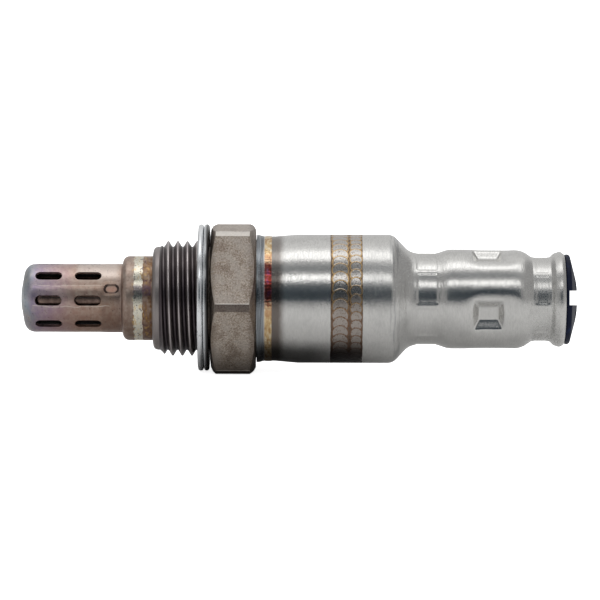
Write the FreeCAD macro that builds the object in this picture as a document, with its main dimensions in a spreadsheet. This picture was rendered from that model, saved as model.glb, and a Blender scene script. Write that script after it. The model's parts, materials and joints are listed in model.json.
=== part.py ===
"""Exhaust oxygen sensor, in millimetres.

The sensor's axis is the X axis. X is 0 at the face of the gasket that seals on the
exhaust boss, the slotted tip points along -X and the lead gland along +X. The sensor
lies on a flat of its hexagon, so +Z is up and a corner of the hexagon points along -Y.
"""

import FreeCAD, Part
import Sketcher
import os
import re

SIZES = {
    # Thread and nose of the hexagon shell
    "thread_radius": 9.0,
    "thread_reach": 5.95,
    "thread_relief": 0.1,
    "pilot_radius": 8.1,
    "pilot_length": 1.1,
    "pilot_round": 0.75,
    "relief_depth": 0.95,
    # Folded gasket
    "gasket_width": 2.17,
    "gasket_thickness": 1.73,
    "gasket_front_lobe": 0.85,
    "gasket_sheet": 0.25,
    "gasket_fold": 0.08,
    "gasket_roll": 0.48,
    "gasket_clearance": 0.3,
    "gasket_play": 0.15,
    "gasket_gap": 0.27,
    # Hexagon
    "hex_flats": 22.25,
    "hex_thickness": 7.0,
    "hex_corner_radius": 12.53,
    "hex_face_radius": 10.8,
    "hex_front_chamfer": 0.85,
    "hex_back_chamfer": 0.9,
    "hex_root_radius": 10.2,
    "mouth_gap": 0.15,
    # Rear of the shell, rolled over the seal
    "boss_length": 4.0,
    "lip_radius": 7.4,
    "lip_wall": 1.3,
    "lip_round": 1.1,
    "lip_opening": 4.6,
    # Bores of the shell
    "nose_bore": 3.3,
    "bore_radius": 5.6,
    "seat_depth": 3.4,
    # Slotted outer shield
    "shield_length": 20.67,
    "shield_radius": 5.38,
    "shield_wall": 0.45,
    "shield_corner": 1.77,
    "shield_crown": 8.0,
    "shield_crown_start": 1.2,
    "shield_crown_depth": 0.8,
    "skirt_radius": 6.6,
    "skirt_length": 4.75,
    "skirt_round": 1.0,
    "skirt_root": 0.2,
    "slot_length": 4.1,
    "slot_width": 1.6,
    "slot_count": 8,
    "slot_turn": -2.6,
    "slot_front": 4.35,
    "slot_pitch": 6.1,
    "stake_setback": 6.6,
    "stake_length": 2.2,
    "stake_width": 1.3,
    "stake_depth": 0.2,
    "stake_count": 3,
    "stake_turn": 65.0,
    # Inner shield
    "inner_radius": 2.9,
    "inner_wide": 4.0,
    "inner_neck": 3.2,
    "inner_wall": 0.3,
    "inner_length": 14.6,
    "inner_corner": 1.2,
    "inner_flange": 5.5,
    "inner_hole": 0.6,
    "inner_hole_count": 8,
    "inner_hole_turn": 20.0,
    "inner_mouth": 0.7,
    # Outer sleeve
    "sleeve_wall": 0.5,
    "sleeve_radius": 10.06,
    "sleeve_length": 48.0,
    "mouth_drop": 0.08,
    "mouth_length": 0.3,
    "waist_start": 1.2,
    "waist_end": 2.9,
    "waist_depth": 0.3,
    "weld_width": 1.2,
    "weld_toe": 0.2,
    "weld_height": 0.06,
    "weld_round": 0.6,
    "swell_end": 6.4,
    "shoulder_start": 21.3,
    "shoulder_run": 2.7,
    "shoulder_round": 1.9,
    "shoulder_root": 2.8,
    "neck_radius": 7.2,
    "neck_end": 28.2,
    "bulge_radius": 7.78,
    "bulge_start": 29.9,
    "bulge_end": 41.3,
    "gland_neck_radius": 6.6,
    "gland_neck_start": 42.97,
    "gland_neck_end": 45.8,
    "rim_radius": 7.55,
    "rim_width": 0.55,
    "rim_drop": 0.45,
    "flare_radius": 7.2,
    "flare_length": 0.6,
    "soft_round": 1.6,
    "bulge_round": 3.9,
    "step_round": 0.35,
    "rim_round": 0.7,
    # Crimps and dents in the sleeve
    "jaw_count": 8,
    "jaw_turn": 25.1,
    "jaw_depth": 0.14,
    "jaw_half_angle": 19.5,
    "dent_place": 36.0,
    "dent_length": 3.0,
    "dent_width": 2.18,
    "dent_depth": 1.5,
    "dent_end_slope": 25.0,
    "dent_side_slope": 41.0,
    "dent_count": 4,
    "dent_turn": 13.6,
    # Sensing element and the seal packed round it
    "clocking": -8.0,
    "element_width": 4.2,
    "element_thickness": 1.5,
    "element_front": 3.8,
    "element_length": 57.0,
    "element_chamfer": 0.4,
    "element_clearance": 0.1,
    "fit_clearance": 0.05,
    "packing_thickness": 0.5,
    "packing_width": 1.2,
    "front_insulator_length": 6.0,
    "talc_length": 6.0,
    "rear_insulator_length": 6.0,
    "seal_washer_thickness": 0.6,
    "edge_break": 0.3,
    # Contact holder
    "holder_length": 19.8,
    "holder_split": 0.1,
    "clip_place": 6.0,
    "clip_length": 4.5,
    "clip_sheet": 0.3,
    "clip_mouth": 50.0,
    "spring_sheet": 0.35,
    "spring_height": 1.8,
    "spring_foot": 0.9,
    # Contacts
    "contact_offset": 1.25,
    "contact_width": 1.2,
    "contact_sheet": 0.3,
    "contact_start": 5.6,
    "contact_bow": 1.1,
    "contact_reach": 4.5,
    "channel_width": 1.6,
    "lead_offset": 2.4,
    "barrel_radius": 0.95,
    "barrel_wall": 0.25,
    "barrel_lead": 1.2,
    "barrel_length": 6.5,
    # Terminal insulator and lead gland
    "terminal_length": 9.2,
    "terminal_gap": 0.5,
    "terminal_ramp": 1.9,
    "terminal_collar": 1.4,
    "terminal_clearance": 0.15,
    "lead_hole": 1.15,
    "gland_cap_radius": 7.05,
    "gland_cap_length": 2.1,
    "gland_crown": 1.25,
    "gland_crown_start": 2.4,
    "gland_crown_round": 12.0,
    "gland_edge": 0.4,
    "gland_slot_width": 2.4,
    "gland_slot_depth": 1.6,
}

# Places along the axis, worked out from the sizes
NOSE = "(-thread_reach - pilot_length)"
SHOULDER = f"({NOSE} - skirt_length)"
CLAMP = f"({SHOULDER} + shield_wall)"
SPIGOT = f"({CLAMP} + inner_wall)"
TIP = f"({NOSE} - shield_length)"
RELIEF_RADIUS = "(thread_radius - relief_depth)"
HEX_FRONT = "(gasket_thickness + gasket_gap)"
HEX_BACK = f"({HEX_FRONT} + hex_thickness)"
MOUTH = f"({HEX_BACK} + mouth_gap)"
BOSS_END = f"({MOUTH} + boss_length)"
SEAT = "(-seat_depth)"
FRONT_INSULATOR = f"({SEAT} + packing_thickness)"
TALC = f"({FRONT_INSULATOR} + front_insulator_length)"
REAR_INSULATOR = f"({TALC} + talc_length)"
SEAL_WASHER = f"({REAR_INSULATOR} + rear_insulator_length)"
WELD = f"({MOUTH} + waist_start)"
WELD_END = f"({WELD} + weld_width)"
LIP = f"({SEAL_WASHER} + seal_washer_thickness)"
LIP_END = f"({LIP} + lip_wall)"
ELEMENT = f"({TIP} + element_front)"
ELEMENT_END = f"({ELEMENT} + element_length)"
HOLDER = f"({LIP_END} + spring_height)"
HOLDER_END = f"({HOLDER} + holder_length)"
NECK = f"({MOUTH} + shoulder_start + shoulder_run)"
NECK_END = f"({MOUTH} + neck_end)"
BULGE = f"({MOUTH} + bulge_start)"
BULGE_END = f"({MOUTH} + bulge_end)"
GLAND_NECK = f"({MOUTH} + gland_neck_start)"
GLAND_NECK_END = f"({MOUTH} + gland_neck_end)"
SLEEVE_END = f"({MOUTH} + sleeve_length)"
RIM = f"({SLEEVE_END} - rim_width)"
DENT = f"({MOUTH} + dent_place)"
TERMINAL = f"({HOLDER_END} + terminal_gap)"
TERMINAL_END = f"({TERMINAL} + terminal_length)"
GLAND_END = f"({SLEEVE_END} + gland_cap_length)"
BOSS_RADIUS = "(sleeve_radius - waist_depth - sleeve_wall - fit_clearance)"
HOLDER_RADIUS = "(neck_radius - sleeve_wall - fit_clearance)"
BULGE_BORE = "(bulge_radius - sleeve_wall - fit_clearance)"
GLAND_BORE = "(gland_neck_radius - sleeve_wall - fit_clearance)"

V = FreeCAD.Vector
Limit = Sketcher.Constraint
document = FreeCAD.newDocument("oxygen_sensor")
sheet = document.addObject("Spreadsheet::Sheet", "sizes")
for row, (alias, size) in enumerate(SIZES.items(), 1):
    sheet.set(f"A{row}", alias)
    sheet.set(f"B{row}", str(size))
    sheet.setAlias(f"B{row}", alias)
document.recompute()
parts = []


def link(text):
    """Writes an expression on the sheet: each size's name gets the sheet's name."""
    return re.sub(r"[a-z_]+", lambda found: f"sizes.{found[0]}" if found[0] in SIZES else found[0], text)


def value(text):
    """The number that an expression has now."""
    return float(sheet.evalExpression(link(text)))


def bind(thing, prop, text):
    thing.setExpression(prop, link(text))


def new_body(name):
    body = document.addObject("PartDesign::Body", name)
    body.Label = name
    parts.append(body)
    return body


def origin(body, role):
    return next(feature for feature in body.Origin.OriginFeatures if feature.Role == role)


def sketch_on(body, name, role, turn="0", away="0"):
    """A sketch on one of the body's own planes, turned about X and moved off the axis.

    On XY_Plane the turn is about the sensor's axis and away is the distance from it.
    On YZ_Plane the sketch faces +X, and away is the place along the axis.
    """
    sketch = body.newObject("Sketcher::SketchObject", name)
    sketch.AttachmentSupport = [(origin(body, role), "")]
    sketch.MapMode = "FlatFace"
    axis = V(1, 0, 0) if role == "XY_Plane" else V(0, 0, 1)
    sketch.AttachmentOffset = FreeCAD.Placement(V(0, 0, 0), FreeCAD.Rotation(axis, 1))
    bind(sketch, "AttachmentOffset.Rotation.Angle", turn)
    if role == "XY_Plane":
        bind(sketch, "AttachmentOffset.Base.y", f"-({away}) * sin({turn} * 1 deg)")
        bind(sketch, "AttachmentOffset.Base.z", f"({away}) * cos({turn} * 1 deg)")
    else:
        bind(sketch, "AttachmentOffset.Base.z", away)
    return sketch


def limit(sketch, kind, places, text):
    """A dimension of the sketch that follows an expression on the sheet."""
    index = sketch.addConstraint(Limit(kind, *places, value(text)))
    bind(sketch, f"Constraints[{index}]", text)


def outline(sketch, corners, closed=True):
    """Straight lines through corners (x, y) or (x, y, round), each an expression."""
    points = [V(value(x), value(y), 0) for x, y, *_ in corners]
    count = len(points)
    lines = count if closed else count - 1
    first = sketch.GeometryCount
    for k in range(lines):
        sketch.addGeometry(Part.LineSegment(points[k], points[(k + 1) % count]))
    for k in range(lines if closed else lines - 1):
        sketch.addConstraint(Limit("Coincident", first + k, 2, first + (k + 1) % count, 1))
    for k, (x, y, *_) in enumerate(corners):
        end = (first + k, 1) if k < lines else (first + k - 1, 2)
        limit(sketch, "DistanceX", (-1, 1, *end), x)
        limit(sketch, "DistanceY", (-1, 1, *end), y)
    for k, (_, _, *rounding) in enumerate(corners):
        if rounding:
            sketch.fillet(first + (k - 1) % count, 2, value(rounding[0]), True, True)
            arc = max(g for g, thing in enumerate(sketch.Geometry)
                      if isinstance(thing, Part.ArcOfCircle))
            limit(sketch, "Radius", (arc,), rounding[0])


def circle(sketch, x, y, radius):
    index = sketch.addGeometry(Part.Circle(V(value(x), value(y), 0), V(0, 0, 1), value(radius)))
    limit(sketch, "DistanceX", (-1, 1, index, 3), x)
    limit(sketch, "DistanceY", (-1, 1, index, 3), y)
    limit(sketch, "Radius", (index,), radius)


def rectangle(sketch, x, y, length, width, *rounding):
    """A rectangle centred on x, y."""
    low_x, high_x = f"{x} - {length} / 2", f"{x} + {length} / 2"
    low_y, high_y = f"{y} - {width} / 2", f"{y} + {width} / 2"
    corners = [(low_x, low_y), (high_x, low_y), (high_x, high_y), (low_x, high_y)]
    outline(sketch, [(*corner, *rounding) for corner in corners])


def long_slot(sketch, x, length, width):
    """A slot with round ends along the sketch's X axis."""
    half = f"({length} - {width}) / 2"
    ends = []
    for side, start in ((-1, 90), (1, -90)):
        centre = f"{x} + {side} * {half}"
        ring = Part.Circle(V(value(centre), 0, 0), V(0, 0, 1), value(f"{width} / 2"))
        ends.append((centre, sketch.addGeometry(Part.ArcOfCircle(ring, value(f"{start} * pi / 180"),
                                                                 value(f"({start} + 180) * pi / 180")))))
    (left_centre, left), (right_centre, right) = ends
    for side, left_end, right_end in ((1, 1, 2), (-1, 2, 1)):
        level = value(f"{side} * {width} / 2")
        span = [V(value(centre), level, 0) for centre in (left_centre, right_centre)]
        line = sketch.addGeometry(Part.LineSegment(*span))
        sketch.addConstraint(Limit("Tangent", left, left_end, line, 1))
        sketch.addConstraint(Limit("Tangent", right, right_end, line, 2))
    for centre, arc in ends:
        sketch.addConstraint(Limit("PointOnObject", arc, 3, -1))
        limit(sketch, "DistanceX", (-1, 1, arc, 3), centre)
    limit(sketch, "Radius", (left,), f"{width} / 2")


def revolve(body, corners, name="turned"):
    """A solid of revolution about the sensor's axis."""
    sketch = sketch_on(body, f"{body.Name}_{name}_outline", "XY_Plane")
    outline(sketch, corners)
    feature = body.newObject("PartDesign::Revolution", f"{body.Name}_{name}")
    feature.Profile = sketch
    feature.ReferenceAxis = (sketch, ["H_Axis"])
    feature.Angle = 360
    document.recompute()
    return feature


def groove(body, corners, name):
    """Turns a cut about the sensor's axis, and stops if it takes nothing away."""
    before = body.Tip.Shape.Volume
    sketch = sketch_on(body, f"{body.Name}_{name}_outline", "XY_Plane")
    outline(sketch, corners)
    feature = body.newObject("PartDesign::Groove", f"{body.Name}_{name}")
    feature.Profile = sketch
    feature.ReferenceAxis = (sketch, ["H_Axis"])
    feature.Angle = 360
    document.recompute()
    assert feature.Shape.Volume < before, f"{name} cuts nothing"
    return feature


def pad(body, sketch, length, name, taper="0", both=False):
    feature = body.newObject("PartDesign::Pad", f"{body.Name}_{name}")
    feature.Profile = sketch
    feature.Midplane = both
    bind(feature, "Length", length)
    bind(feature, "TaperAngle", taper)
    document.recompute()
    return feature


def pocket(body, sketch, length, name, taper="0"):
    """Cuts along the sketch's normal, and stops if it takes nothing away."""
    before = body.Tip.Shape.Volume
    feature = body.newObject("PartDesign::Pocket", f"{body.Name}_{name}")
    feature.Profile = sketch
    feature.Reversed = True
    bind(feature, "Length", length)
    bind(feature, "TaperAngle", taper)
    document.recompute()
    assert feature.Shape.Volume < before, f"{name} cuts nothing"
    return feature


def around(body, features, count, name):
    """Repeats features evenly about the sensor's axis."""
    feature = body.newObject("PartDesign::PolarPattern", f"{body.Name}_{name}")
    feature.Originals = features
    feature.Axis = (origin(body, "X_Axis"), [""])
    feature.Angle = 360
    bind(feature, "Occurrences", count)
    body.Tip = feature
    document.recompute()
    return feature


def turned_sheet(name, corners, wall):
    """A body of sheet metal: an open outer outline gets its wall inwards, then turns."""
    sketch = document.addObject("Sketcher::SketchObject", f"{name}_outline")
    outline(sketch, corners, closed=False)
    section = document.addObject("Part::Offset2D", f"{name}_section")
    section.Source = sketch
    section.Mode = 0
    section.Join = 0
    section.Fill = True
    bind(section, "Value", wall)
    shell = document.addObject("Part::Revolution", f"{name}_shell")
    shell.Source = section
    shell.Axis = V(1, 0, 0)
    shell.Angle = 360
    shell.Solid = False
    body = new_body(name)
    body.BaseFeature = shell
    document.recompute()
    return body


def turn_with_element(body):
    """Turns a body about the axis to where the sensing element sits."""
    body.Placement = FreeCAD.Placement(V(0, 0, 0), FreeCAD.Rotation(V(1, 0, 0), 1))
    bind(body, "Placement.Rotation.Angle", "clocking")


def hex_shell():
    """The threaded body: turned outside and inside, with the hexagon milled on."""
    body = new_body("hex_shell")
    spigot = "(skirt_radius - shield_wall - fit_clearance)"
    thread_start = "-thread_reach + thread_radius - pilot_radius"
    revolve(body, [
        (SPIGOT, "nose_bore"),
        (SPIGOT, "inner_flange - fit_clearance"),
        (f"{SPIGOT} + {spigot} - inner_flange", spigot),
        (NOSE, spigot),
        (NOSE, "pilot_radius", "pilot_round"),
        ("-thread_reach", "pilot_radius"),
        (thread_start, "thread_radius"),
        ("-thread_relief", "thread_radius"),
        ("relief_depth - thread_relief", RELIEF_RADIUS),
        (HEX_FRONT, RELIEF_RADIUS),
        (HEX_FRONT, "hex_root_radius"),
        (HEX_BACK, "hex_root_radius"),
        (HEX_BACK, BOSS_RADIUS),
        (BOSS_END, BOSS_RADIUS, "edge_break"),
        (BOSS_END, "lip_radius"),
        (LIP_END, "lip_radius", "lip_round"),
        (LIP_END, "lip_opening"),
        (LIP, "lip_opening"),
        (LIP, "bore_radius"),
        (SEAT, "bore_radius"),
        (SEAT, "nose_bore"),
    ])
    hexagon = sketch_on(body, "hexagon_outline", "YZ_Plane", away=HEX_FRONT)
    corner = "hex_flats / sqrt(3)"
    outline(hexagon, [(f"{corner} * cos({60 * k} deg)", f"{corner} * sin({60 * k} deg)")
                      for k in range(6)])
    circle(hexagon, "0", "0", f"({BOSS_RADIUS} + bore_radius) / 2")
    pad(body, hexagon, "hex_thickness", "hexagon")
    outside = "hex_flats"
    groove(body, [
        (HEX_FRONT, "hex_face_radius"),
        (f"{HEX_FRONT} + hex_front_chamfer", "hex_corner_radius"),
        (f"{HEX_BACK} - hex_back_chamfer", "hex_corner_radius"),
        (HEX_BACK, "hex_face_radius"),
        (HEX_BACK, outside),
        (HEX_FRONT, outside),
    ], "corners")


def gasket():
    """A crush gasket: one sheet folded into two rolled lobes, open towards the thread."""
    body = new_body("gasket")
    inner = "(thread_radius + gasket_clearance)"
    outer = f"({inner} + gasket_width)"
    rise = f"({inner} + gasket_sheet)"
    under = f"({outer} - gasket_sheet)"
    front, back, end = "gasket_front_lobe", "(gasket_front_lobe + gasket_fold)", "gasket_thickness"
    front_roll = f"({front} * gasket_roll)"
    back_roll = f"(({end} - {back}) * gasket_roll)"
    revolve(body, [
        ("0", inner),
        ("0", outer, front_roll),
        (front, outer, front_roll),
        (front, rise),
        (back, rise),
        (back, outer, back_roll),
        (end, outer, back_roll),
        (end, inner),
        (f"{end} - gasket_sheet", inner),
        (f"{end} - gasket_sheet", under, f"{back_roll} - gasket_sheet"),
        (f"{back} + gasket_sheet", under, f"{back_roll} - gasket_sheet"),
        (f"{back} + gasket_sheet", inner),
        (f"{front} - gasket_sheet", inner),
        (f"{front} - gasket_sheet", under, f"{front_roll} - gasket_sheet"),
        ("gasket_sheet", under, f"{front_roll} - gasket_sheet"),
        ("gasket_sheet", inner),
    ])
    bind(body, "Placement.Base.z", "gasket_play")


def outer_shield():
    """A drawn cup with two rows of slots, staked to the inner shield's flange."""
    body = turned_sheet("outer_shield", [
        (TIP, "0"),
        (TIP, "shield_crown_start", "shield_crown"),
        (f"{TIP} + shield_crown_depth", "shield_radius", "shield_corner"),
        (SHOULDER, "shield_radius", "skirt_root"),
        (SHOULDER, "skirt_radius", "skirt_round"),
        (NOSE, "skirt_radius"),
    ], "shield_wall")
    slots = []
    for row in range(2):
        sketch = sketch_on(body, f"slot_{row + 1}", "XY_Plane", "slot_turn")
        long_slot(sketch, f"{TIP} + slot_front + {row} * slot_pitch", "slot_length", "slot_width")
        slots.append(pocket(body, sketch, "skirt_radius", f"slot_row_{row + 1}"))
    around(body, slots, "slot_count", "slots")
    floor = "shield_radius - stake_depth"
    stake = sketch_on(body, "stake_outline", "XY_Plane", "stake_turn", floor)
    long_slot(stake, f"{NOSE} - stake_setback", "stake_length", "stake_width")
    mark = pocket(body, stake, "shield_wall", "stake")
    around(body, [mark], "stake_count", "stakes")


def inner_shield():
    """The inner cup: its flange is clamped between the outer shield and the shell."""
    body = turned_sheet("inner_shield", [
        (f"{CLAMP} - inner_length", "inner_mouth"),
        (f"{CLAMP} - inner_length", "inner_radius", "inner_corner"),
        (f"{CLAMP} - inner_neck", "inner_radius"),
        (f"{CLAMP} - inner_neck + inner_wide - inner_radius", "inner_wide"),
        (CLAMP, "inner_wide"),
        (CLAMP, "inner_flange"),
    ], "inner_wall")
    holes = sketch_on(body, "gas_hole_outline", "XY_Plane", "inner_hole_turn")
    circle(holes, f"{TIP} + slot_front + slot_pitch / 2", "0", "inner_hole")
    hole = pocket(body, holes, "inner_radius * 1.2", "gas_hole")
    around(body, [hole], "inner_hole_count", "gas_holes")


def sensing_element():
    """The ceramic strip with its heater laminated in, from the tip to the contacts."""
    body = new_body("sensing_element")
    sketch = sketch_on(body, "element_outline", "XY_Plane", away="-element_thickness / 2")
    half = "element_width / 2"
    outline(sketch, [
        (ELEMENT, f"-{half} + element_chamfer"),
        (f"{ELEMENT} + element_chamfer", f"-{half}"),
        (ELEMENT_END, f"-{half}"),
        (ELEMENT_END, half),
        (f"{ELEMENT} + element_chamfer", half),
        (ELEMENT, f"{half} - element_chamfer"),
    ])
    pad(body, sketch, "element_thickness", "strip")
    turn_with_element(body)


def packed_ring(name, start, length, radius, rounding=None):
    """A round block in the shell's bore with the element's slot through it."""
    body = new_body(name)
    sketch = sketch_on(body, f"{name}_disc", "YZ_Plane", away=start)
    circle(sketch, "0", "0", radius)
    width = "element_width + 2 * element_clearance"
    thickness = "element_thickness + 2 * element_clearance"
    rectangle(sketch, "0", "0", f"({width})", f"({thickness})")
    pad(body, sketch, length, "block")
    if rounding:
        end = f"{start} + {length}"
        for place, inwards, edge in ((start, f"{start} + {rounding}", "front_edge"),
                                     (end, f"{end} - {rounding}", "back_edge")):
            groove(body, [
                (place, f"{radius} - {rounding}"),
                (inwards, radius),
                (inwards, f"{radius} + {rounding}"),
                (place, f"{radius} + {rounding}"),
            ], edge)
    turn_with_element(body)


def seal_stack():
    """Packing ring, insulators, talc and washer, in the order they go into the shell."""
    bore = "(bore_radius - fit_clearance)"
    packing = new_body("packing_ring")
    revolve(packing, [
        (SEAT, f"{bore} - packing_width"),
        (SEAT, bore),
        (FRONT_INSULATOR, bore),
        (FRONT_INSULATOR, f"{bore} - packing_width"),
    ])
    packed_ring("front_insulator", FRONT_INSULATOR, "front_insulator_length", bore, "edge_break")
    packed_ring("talc_seal", TALC, "talc_length", bore)
    packed_ring("rear_insulator", REAR_INSULATOR, "rear_insulator_length", bore, "edge_break")
    washer = new_body("seal_washer")
    revolve(washer, [
        (SEAL_WASHER, "lip_opening - edge_break"),
        (SEAL_WASHER, bore),
        (LIP, bore),
        (LIP, "lip_opening - edge_break"),
    ])


def outer_sleeve():
    """The drawn sleeve: welded on at its waist, stepped down twice, crimped and dented."""
    waist = "sleeve_radius - waist_depth"
    body = turned_sheet("outer_sleeve", [
        (MOUTH, "sleeve_radius - mouth_drop"),
        (f"{MOUTH} + mouth_length", "sleeve_radius - mouth_drop"),
        (WELD, waist),
        (f"{WELD} + weld_toe", f"{waist} + weld_height", "weld_round"),
        (f"{WELD_END} - weld_toe", f"{waist} + weld_height", "weld_round"),
        (WELD_END, waist),
        (f"{MOUTH} + waist_end", waist, "soft_round"),
        (f"{MOUTH} + swell_end", "sleeve_radius", "soft_round"),
        (f"{MOUTH} + shoulder_start", "sleeve_radius", "shoulder_round"),
        (NECK, "neck_radius", "shoulder_root"),
        (NECK_END, "neck_radius", "soft_round"),
        (BULGE, "bulge_radius", "bulge_round"),
        (BULGE_END, "bulge_radius", "bulge_round"),
        (GLAND_NECK, "gland_neck_radius", "step_round"),
        (GLAND_NECK_END, "gland_neck_radius", "step_round"),
        (f"{GLAND_NECK_END} + flare_length", "flare_radius", "rim_round"),
        (RIM, "rim_radius", "rim_round"),
        (SLEEVE_END, "rim_radius - rim_drop"),
    ], "sleeve_wall")
    for name, start, end, radius in (("neck", f"{NECK} + shoulder_run / 2", NECK_END, "neck_radius"),
                                     ("gland", GLAND_NECK, GLAND_NECK_END, "gland_neck_radius")):
        jaw = jaw_mark(body, name, start, end, radius)
        around(body, [jaw], "jaw_count", f"{name}_jaws")
    floor = "(bulge_radius - dent_depth)"
    inside = dent_block(body, "back", f"({floor} - sleeve_wall)", "PartDesign::AdditiveLoft")
    around(body, [inside], "dent_count", "dent_backs")
    outside = "(bulge_radius + dent_depth)"
    groove(body, [
        (f"{DENT} - dent_length", "bulge_radius"),
        (f"{DENT} - dent_length", outside),
        (f"{DENT} + dent_length", outside),
        (f"{DENT} + dent_length", "bulge_radius"),
    ], "dent_trim")
    dent = dent_block(body, "face", floor, "PartDesign::SubtractiveLoft")
    around(body, [dent], "dent_count", "dents")


def dent_block(body, name, level, kind):
    """A block that widens outwards from a dent's floor, more at its sides than its ends."""
    height = "(dent_depth + 2 * sleeve_wall)"
    floor = sketch_on(body, f"dent_{name}_floor", "XY_Plane", "dent_turn", level)
    rectangle(floor, DENT, "0", "dent_length", "dent_width")
    mouth = sketch_on(body, f"dent_{name}_mouth", "XY_Plane", "dent_turn", f"{level} + {height}")
    rectangle(mouth, DENT, "0", f"(dent_length + 2 * {height} * tan(dent_end_slope * 1 deg))",
              f"(dent_width + 2 * {height} * tan(dent_side_slope * 1 deg))")
    block = body.newObject(kind, f"{body.Name}_dent_{name}")
    block.Profile = floor
    block.Sections = [mouth]
    block.Ruled = True
    document.recompute()
    return block


def jaw_mark(body, name, start, end, radius):
    """One shallow round seat that a crimping jaw leaves between two ridges."""
    sketch = sketch_on(body, f"{name}_jaw_outline", "YZ_Plane", away=start)
    low, high = f"({radius} - jaw_depth)", f"({radius} + jaw_depth)"
    rays = [f"(90 + jaw_turn + {side} * jaw_half_angle)" for side in (-1, 1)]
    arcs = []
    for reach in (low, high):
        ring = Part.Circle(V(0, 0, 0), V(0, 0, 1), value(reach))
        arcs.append(sketch.addGeometry(Part.ArcOfCircle(ring, value(f"{rays[0]} * pi / 180"),
                                                        value(f"{rays[1]} * pi / 180"))))
        sketch.addConstraint(Limit("Coincident", arcs[-1], 3, -1, 1))
        limit(sketch, "Radius", (arcs[-1],), reach)
    for end_number, ray in enumerate(rays, 1):
        points = [V(value(f"{reach} * cos({ray} * 1 deg)"), value(f"{reach} * sin({ray} * 1 deg)"), 0)
                  for reach in (low, high)]
        line = sketch.addGeometry(Part.LineSegment(*points))
        for which, arc in enumerate(arcs, 1):
            sketch.addConstraint(Limit("Coincident", line, which, arc, end_number))
        limit(sketch, "DistanceX", (-1, 1, line, 1), f"{low} * cos({ray} * 1 deg)")
        limit(sketch, "DistanceX", (-1, 1, line, 2), f"{high} * cos({ray} * 1 deg)")
    return pocket(body, sketch, f"{end} - {start}", f"{name}_jaw")


def holder_half(name, side):
    """Half of the contact holder, with the element's slot and two contact channels."""
    body = new_body(name)
    sketch = sketch_on(body, f"{name}_disc", "YZ_Plane", away=HOLDER)
    circle(sketch, "0", "0", HOLDER_RADIUS)
    pad(body, sketch, "holder_length", "block")
    other = sketch_on(body, f"{name}_other_half", "YZ_Plane", away=HOLDER)
    reach = "(neck_radius * 3)"
    rectangle(other, "0", f"{side} * (holder_split / 2 - {reach} / 2)", reach, reach)
    pocket(body, other, "holder_length", "split")
    channels = sketch_on(body, f"{name}_channels", "YZ_Plane", away=HOLDER)
    floor = "(element_thickness / 2 + element_clearance)"
    half = "(element_width / 2 + element_clearance)"
    roof = "(lead_offset + barrel_radius + element_clearance)"
    near = "(contact_offset - channel_width / 2)"
    far = "(lead_offset + barrel_radius)"
    low, high = f"{side} * {floor}", f"{side} * {roof}"
    right_side = [("0", half), (low, half), (low, far), (high, far), (high, near), (low, near)]
    outline(channels, [(out, up) for up, out in right_side]
            + [(f"-{out}", up) for up, out in reversed(right_side)])
    pocket(body, channels, "holder_length", "channel")
    start = f"{HOLDER} + clip_place"
    groove(body, [
        (start, f"{HOLDER_RADIUS} - clip_sheet"),
        (f"{start} + clip_length", f"{HOLDER_RADIUS} - clip_sheet"),
        (f"{start} + clip_length", f"{HOLDER_RADIUS} + clip_sheet"),
        (start, f"{HOLDER_RADIUS} + clip_sheet"),
    ], "clip_seat")
    turn_with_element(body)


def holder_clip():
    """The open spring band that holds the two halves on the element."""
    body = new_body("holder_clip")
    start = f"{HOLDER} + clip_place + fit_clearance"
    end = f"{HOLDER} + clip_place + clip_length - fit_clearance"
    inner = f"{HOLDER_RADIUS} - clip_sheet"
    outer = f"{inner} + clip_sheet"
    revolve(body, [(start, inner), (end, inner), (end, outer), (start, outer)])
    gap = sketch_on(body, "clip_gap", "YZ_Plane", away=start)
    reach = f"({HOLDER_RADIUS} * 2)"
    across = f"{reach} * cos(clip_mouth / 2 * 1 deg)"
    aside = f"{reach} * sin(clip_mouth / 2 * 1 deg)"
    outline(gap, [("0", "0"), (across, f"-{aside}"), (across, aside)])
    pocket(body, gap, "clip_length", "mouth")
    turn_with_element(body)


def holder_spring():
    """A dished spring washer between the shell's rolled lip and the contact holder."""
    body = new_body("holder_spring")
    hole = "(lip_opening + edge_break)"
    revolve(body, [
        (LIP_END, hole),
        (f"{LIP_END} + spring_sheet", hole),
        (HOLDER, f"{HOLDER_RADIUS} - spring_foot"),
        (HOLDER, HOLDER_RADIUS),
        (f"{HOLDER} - spring_sheet", HOLDER_RADIUS),
        (LIP_END, f"{hole} + spring_foot"),
    ])


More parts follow.
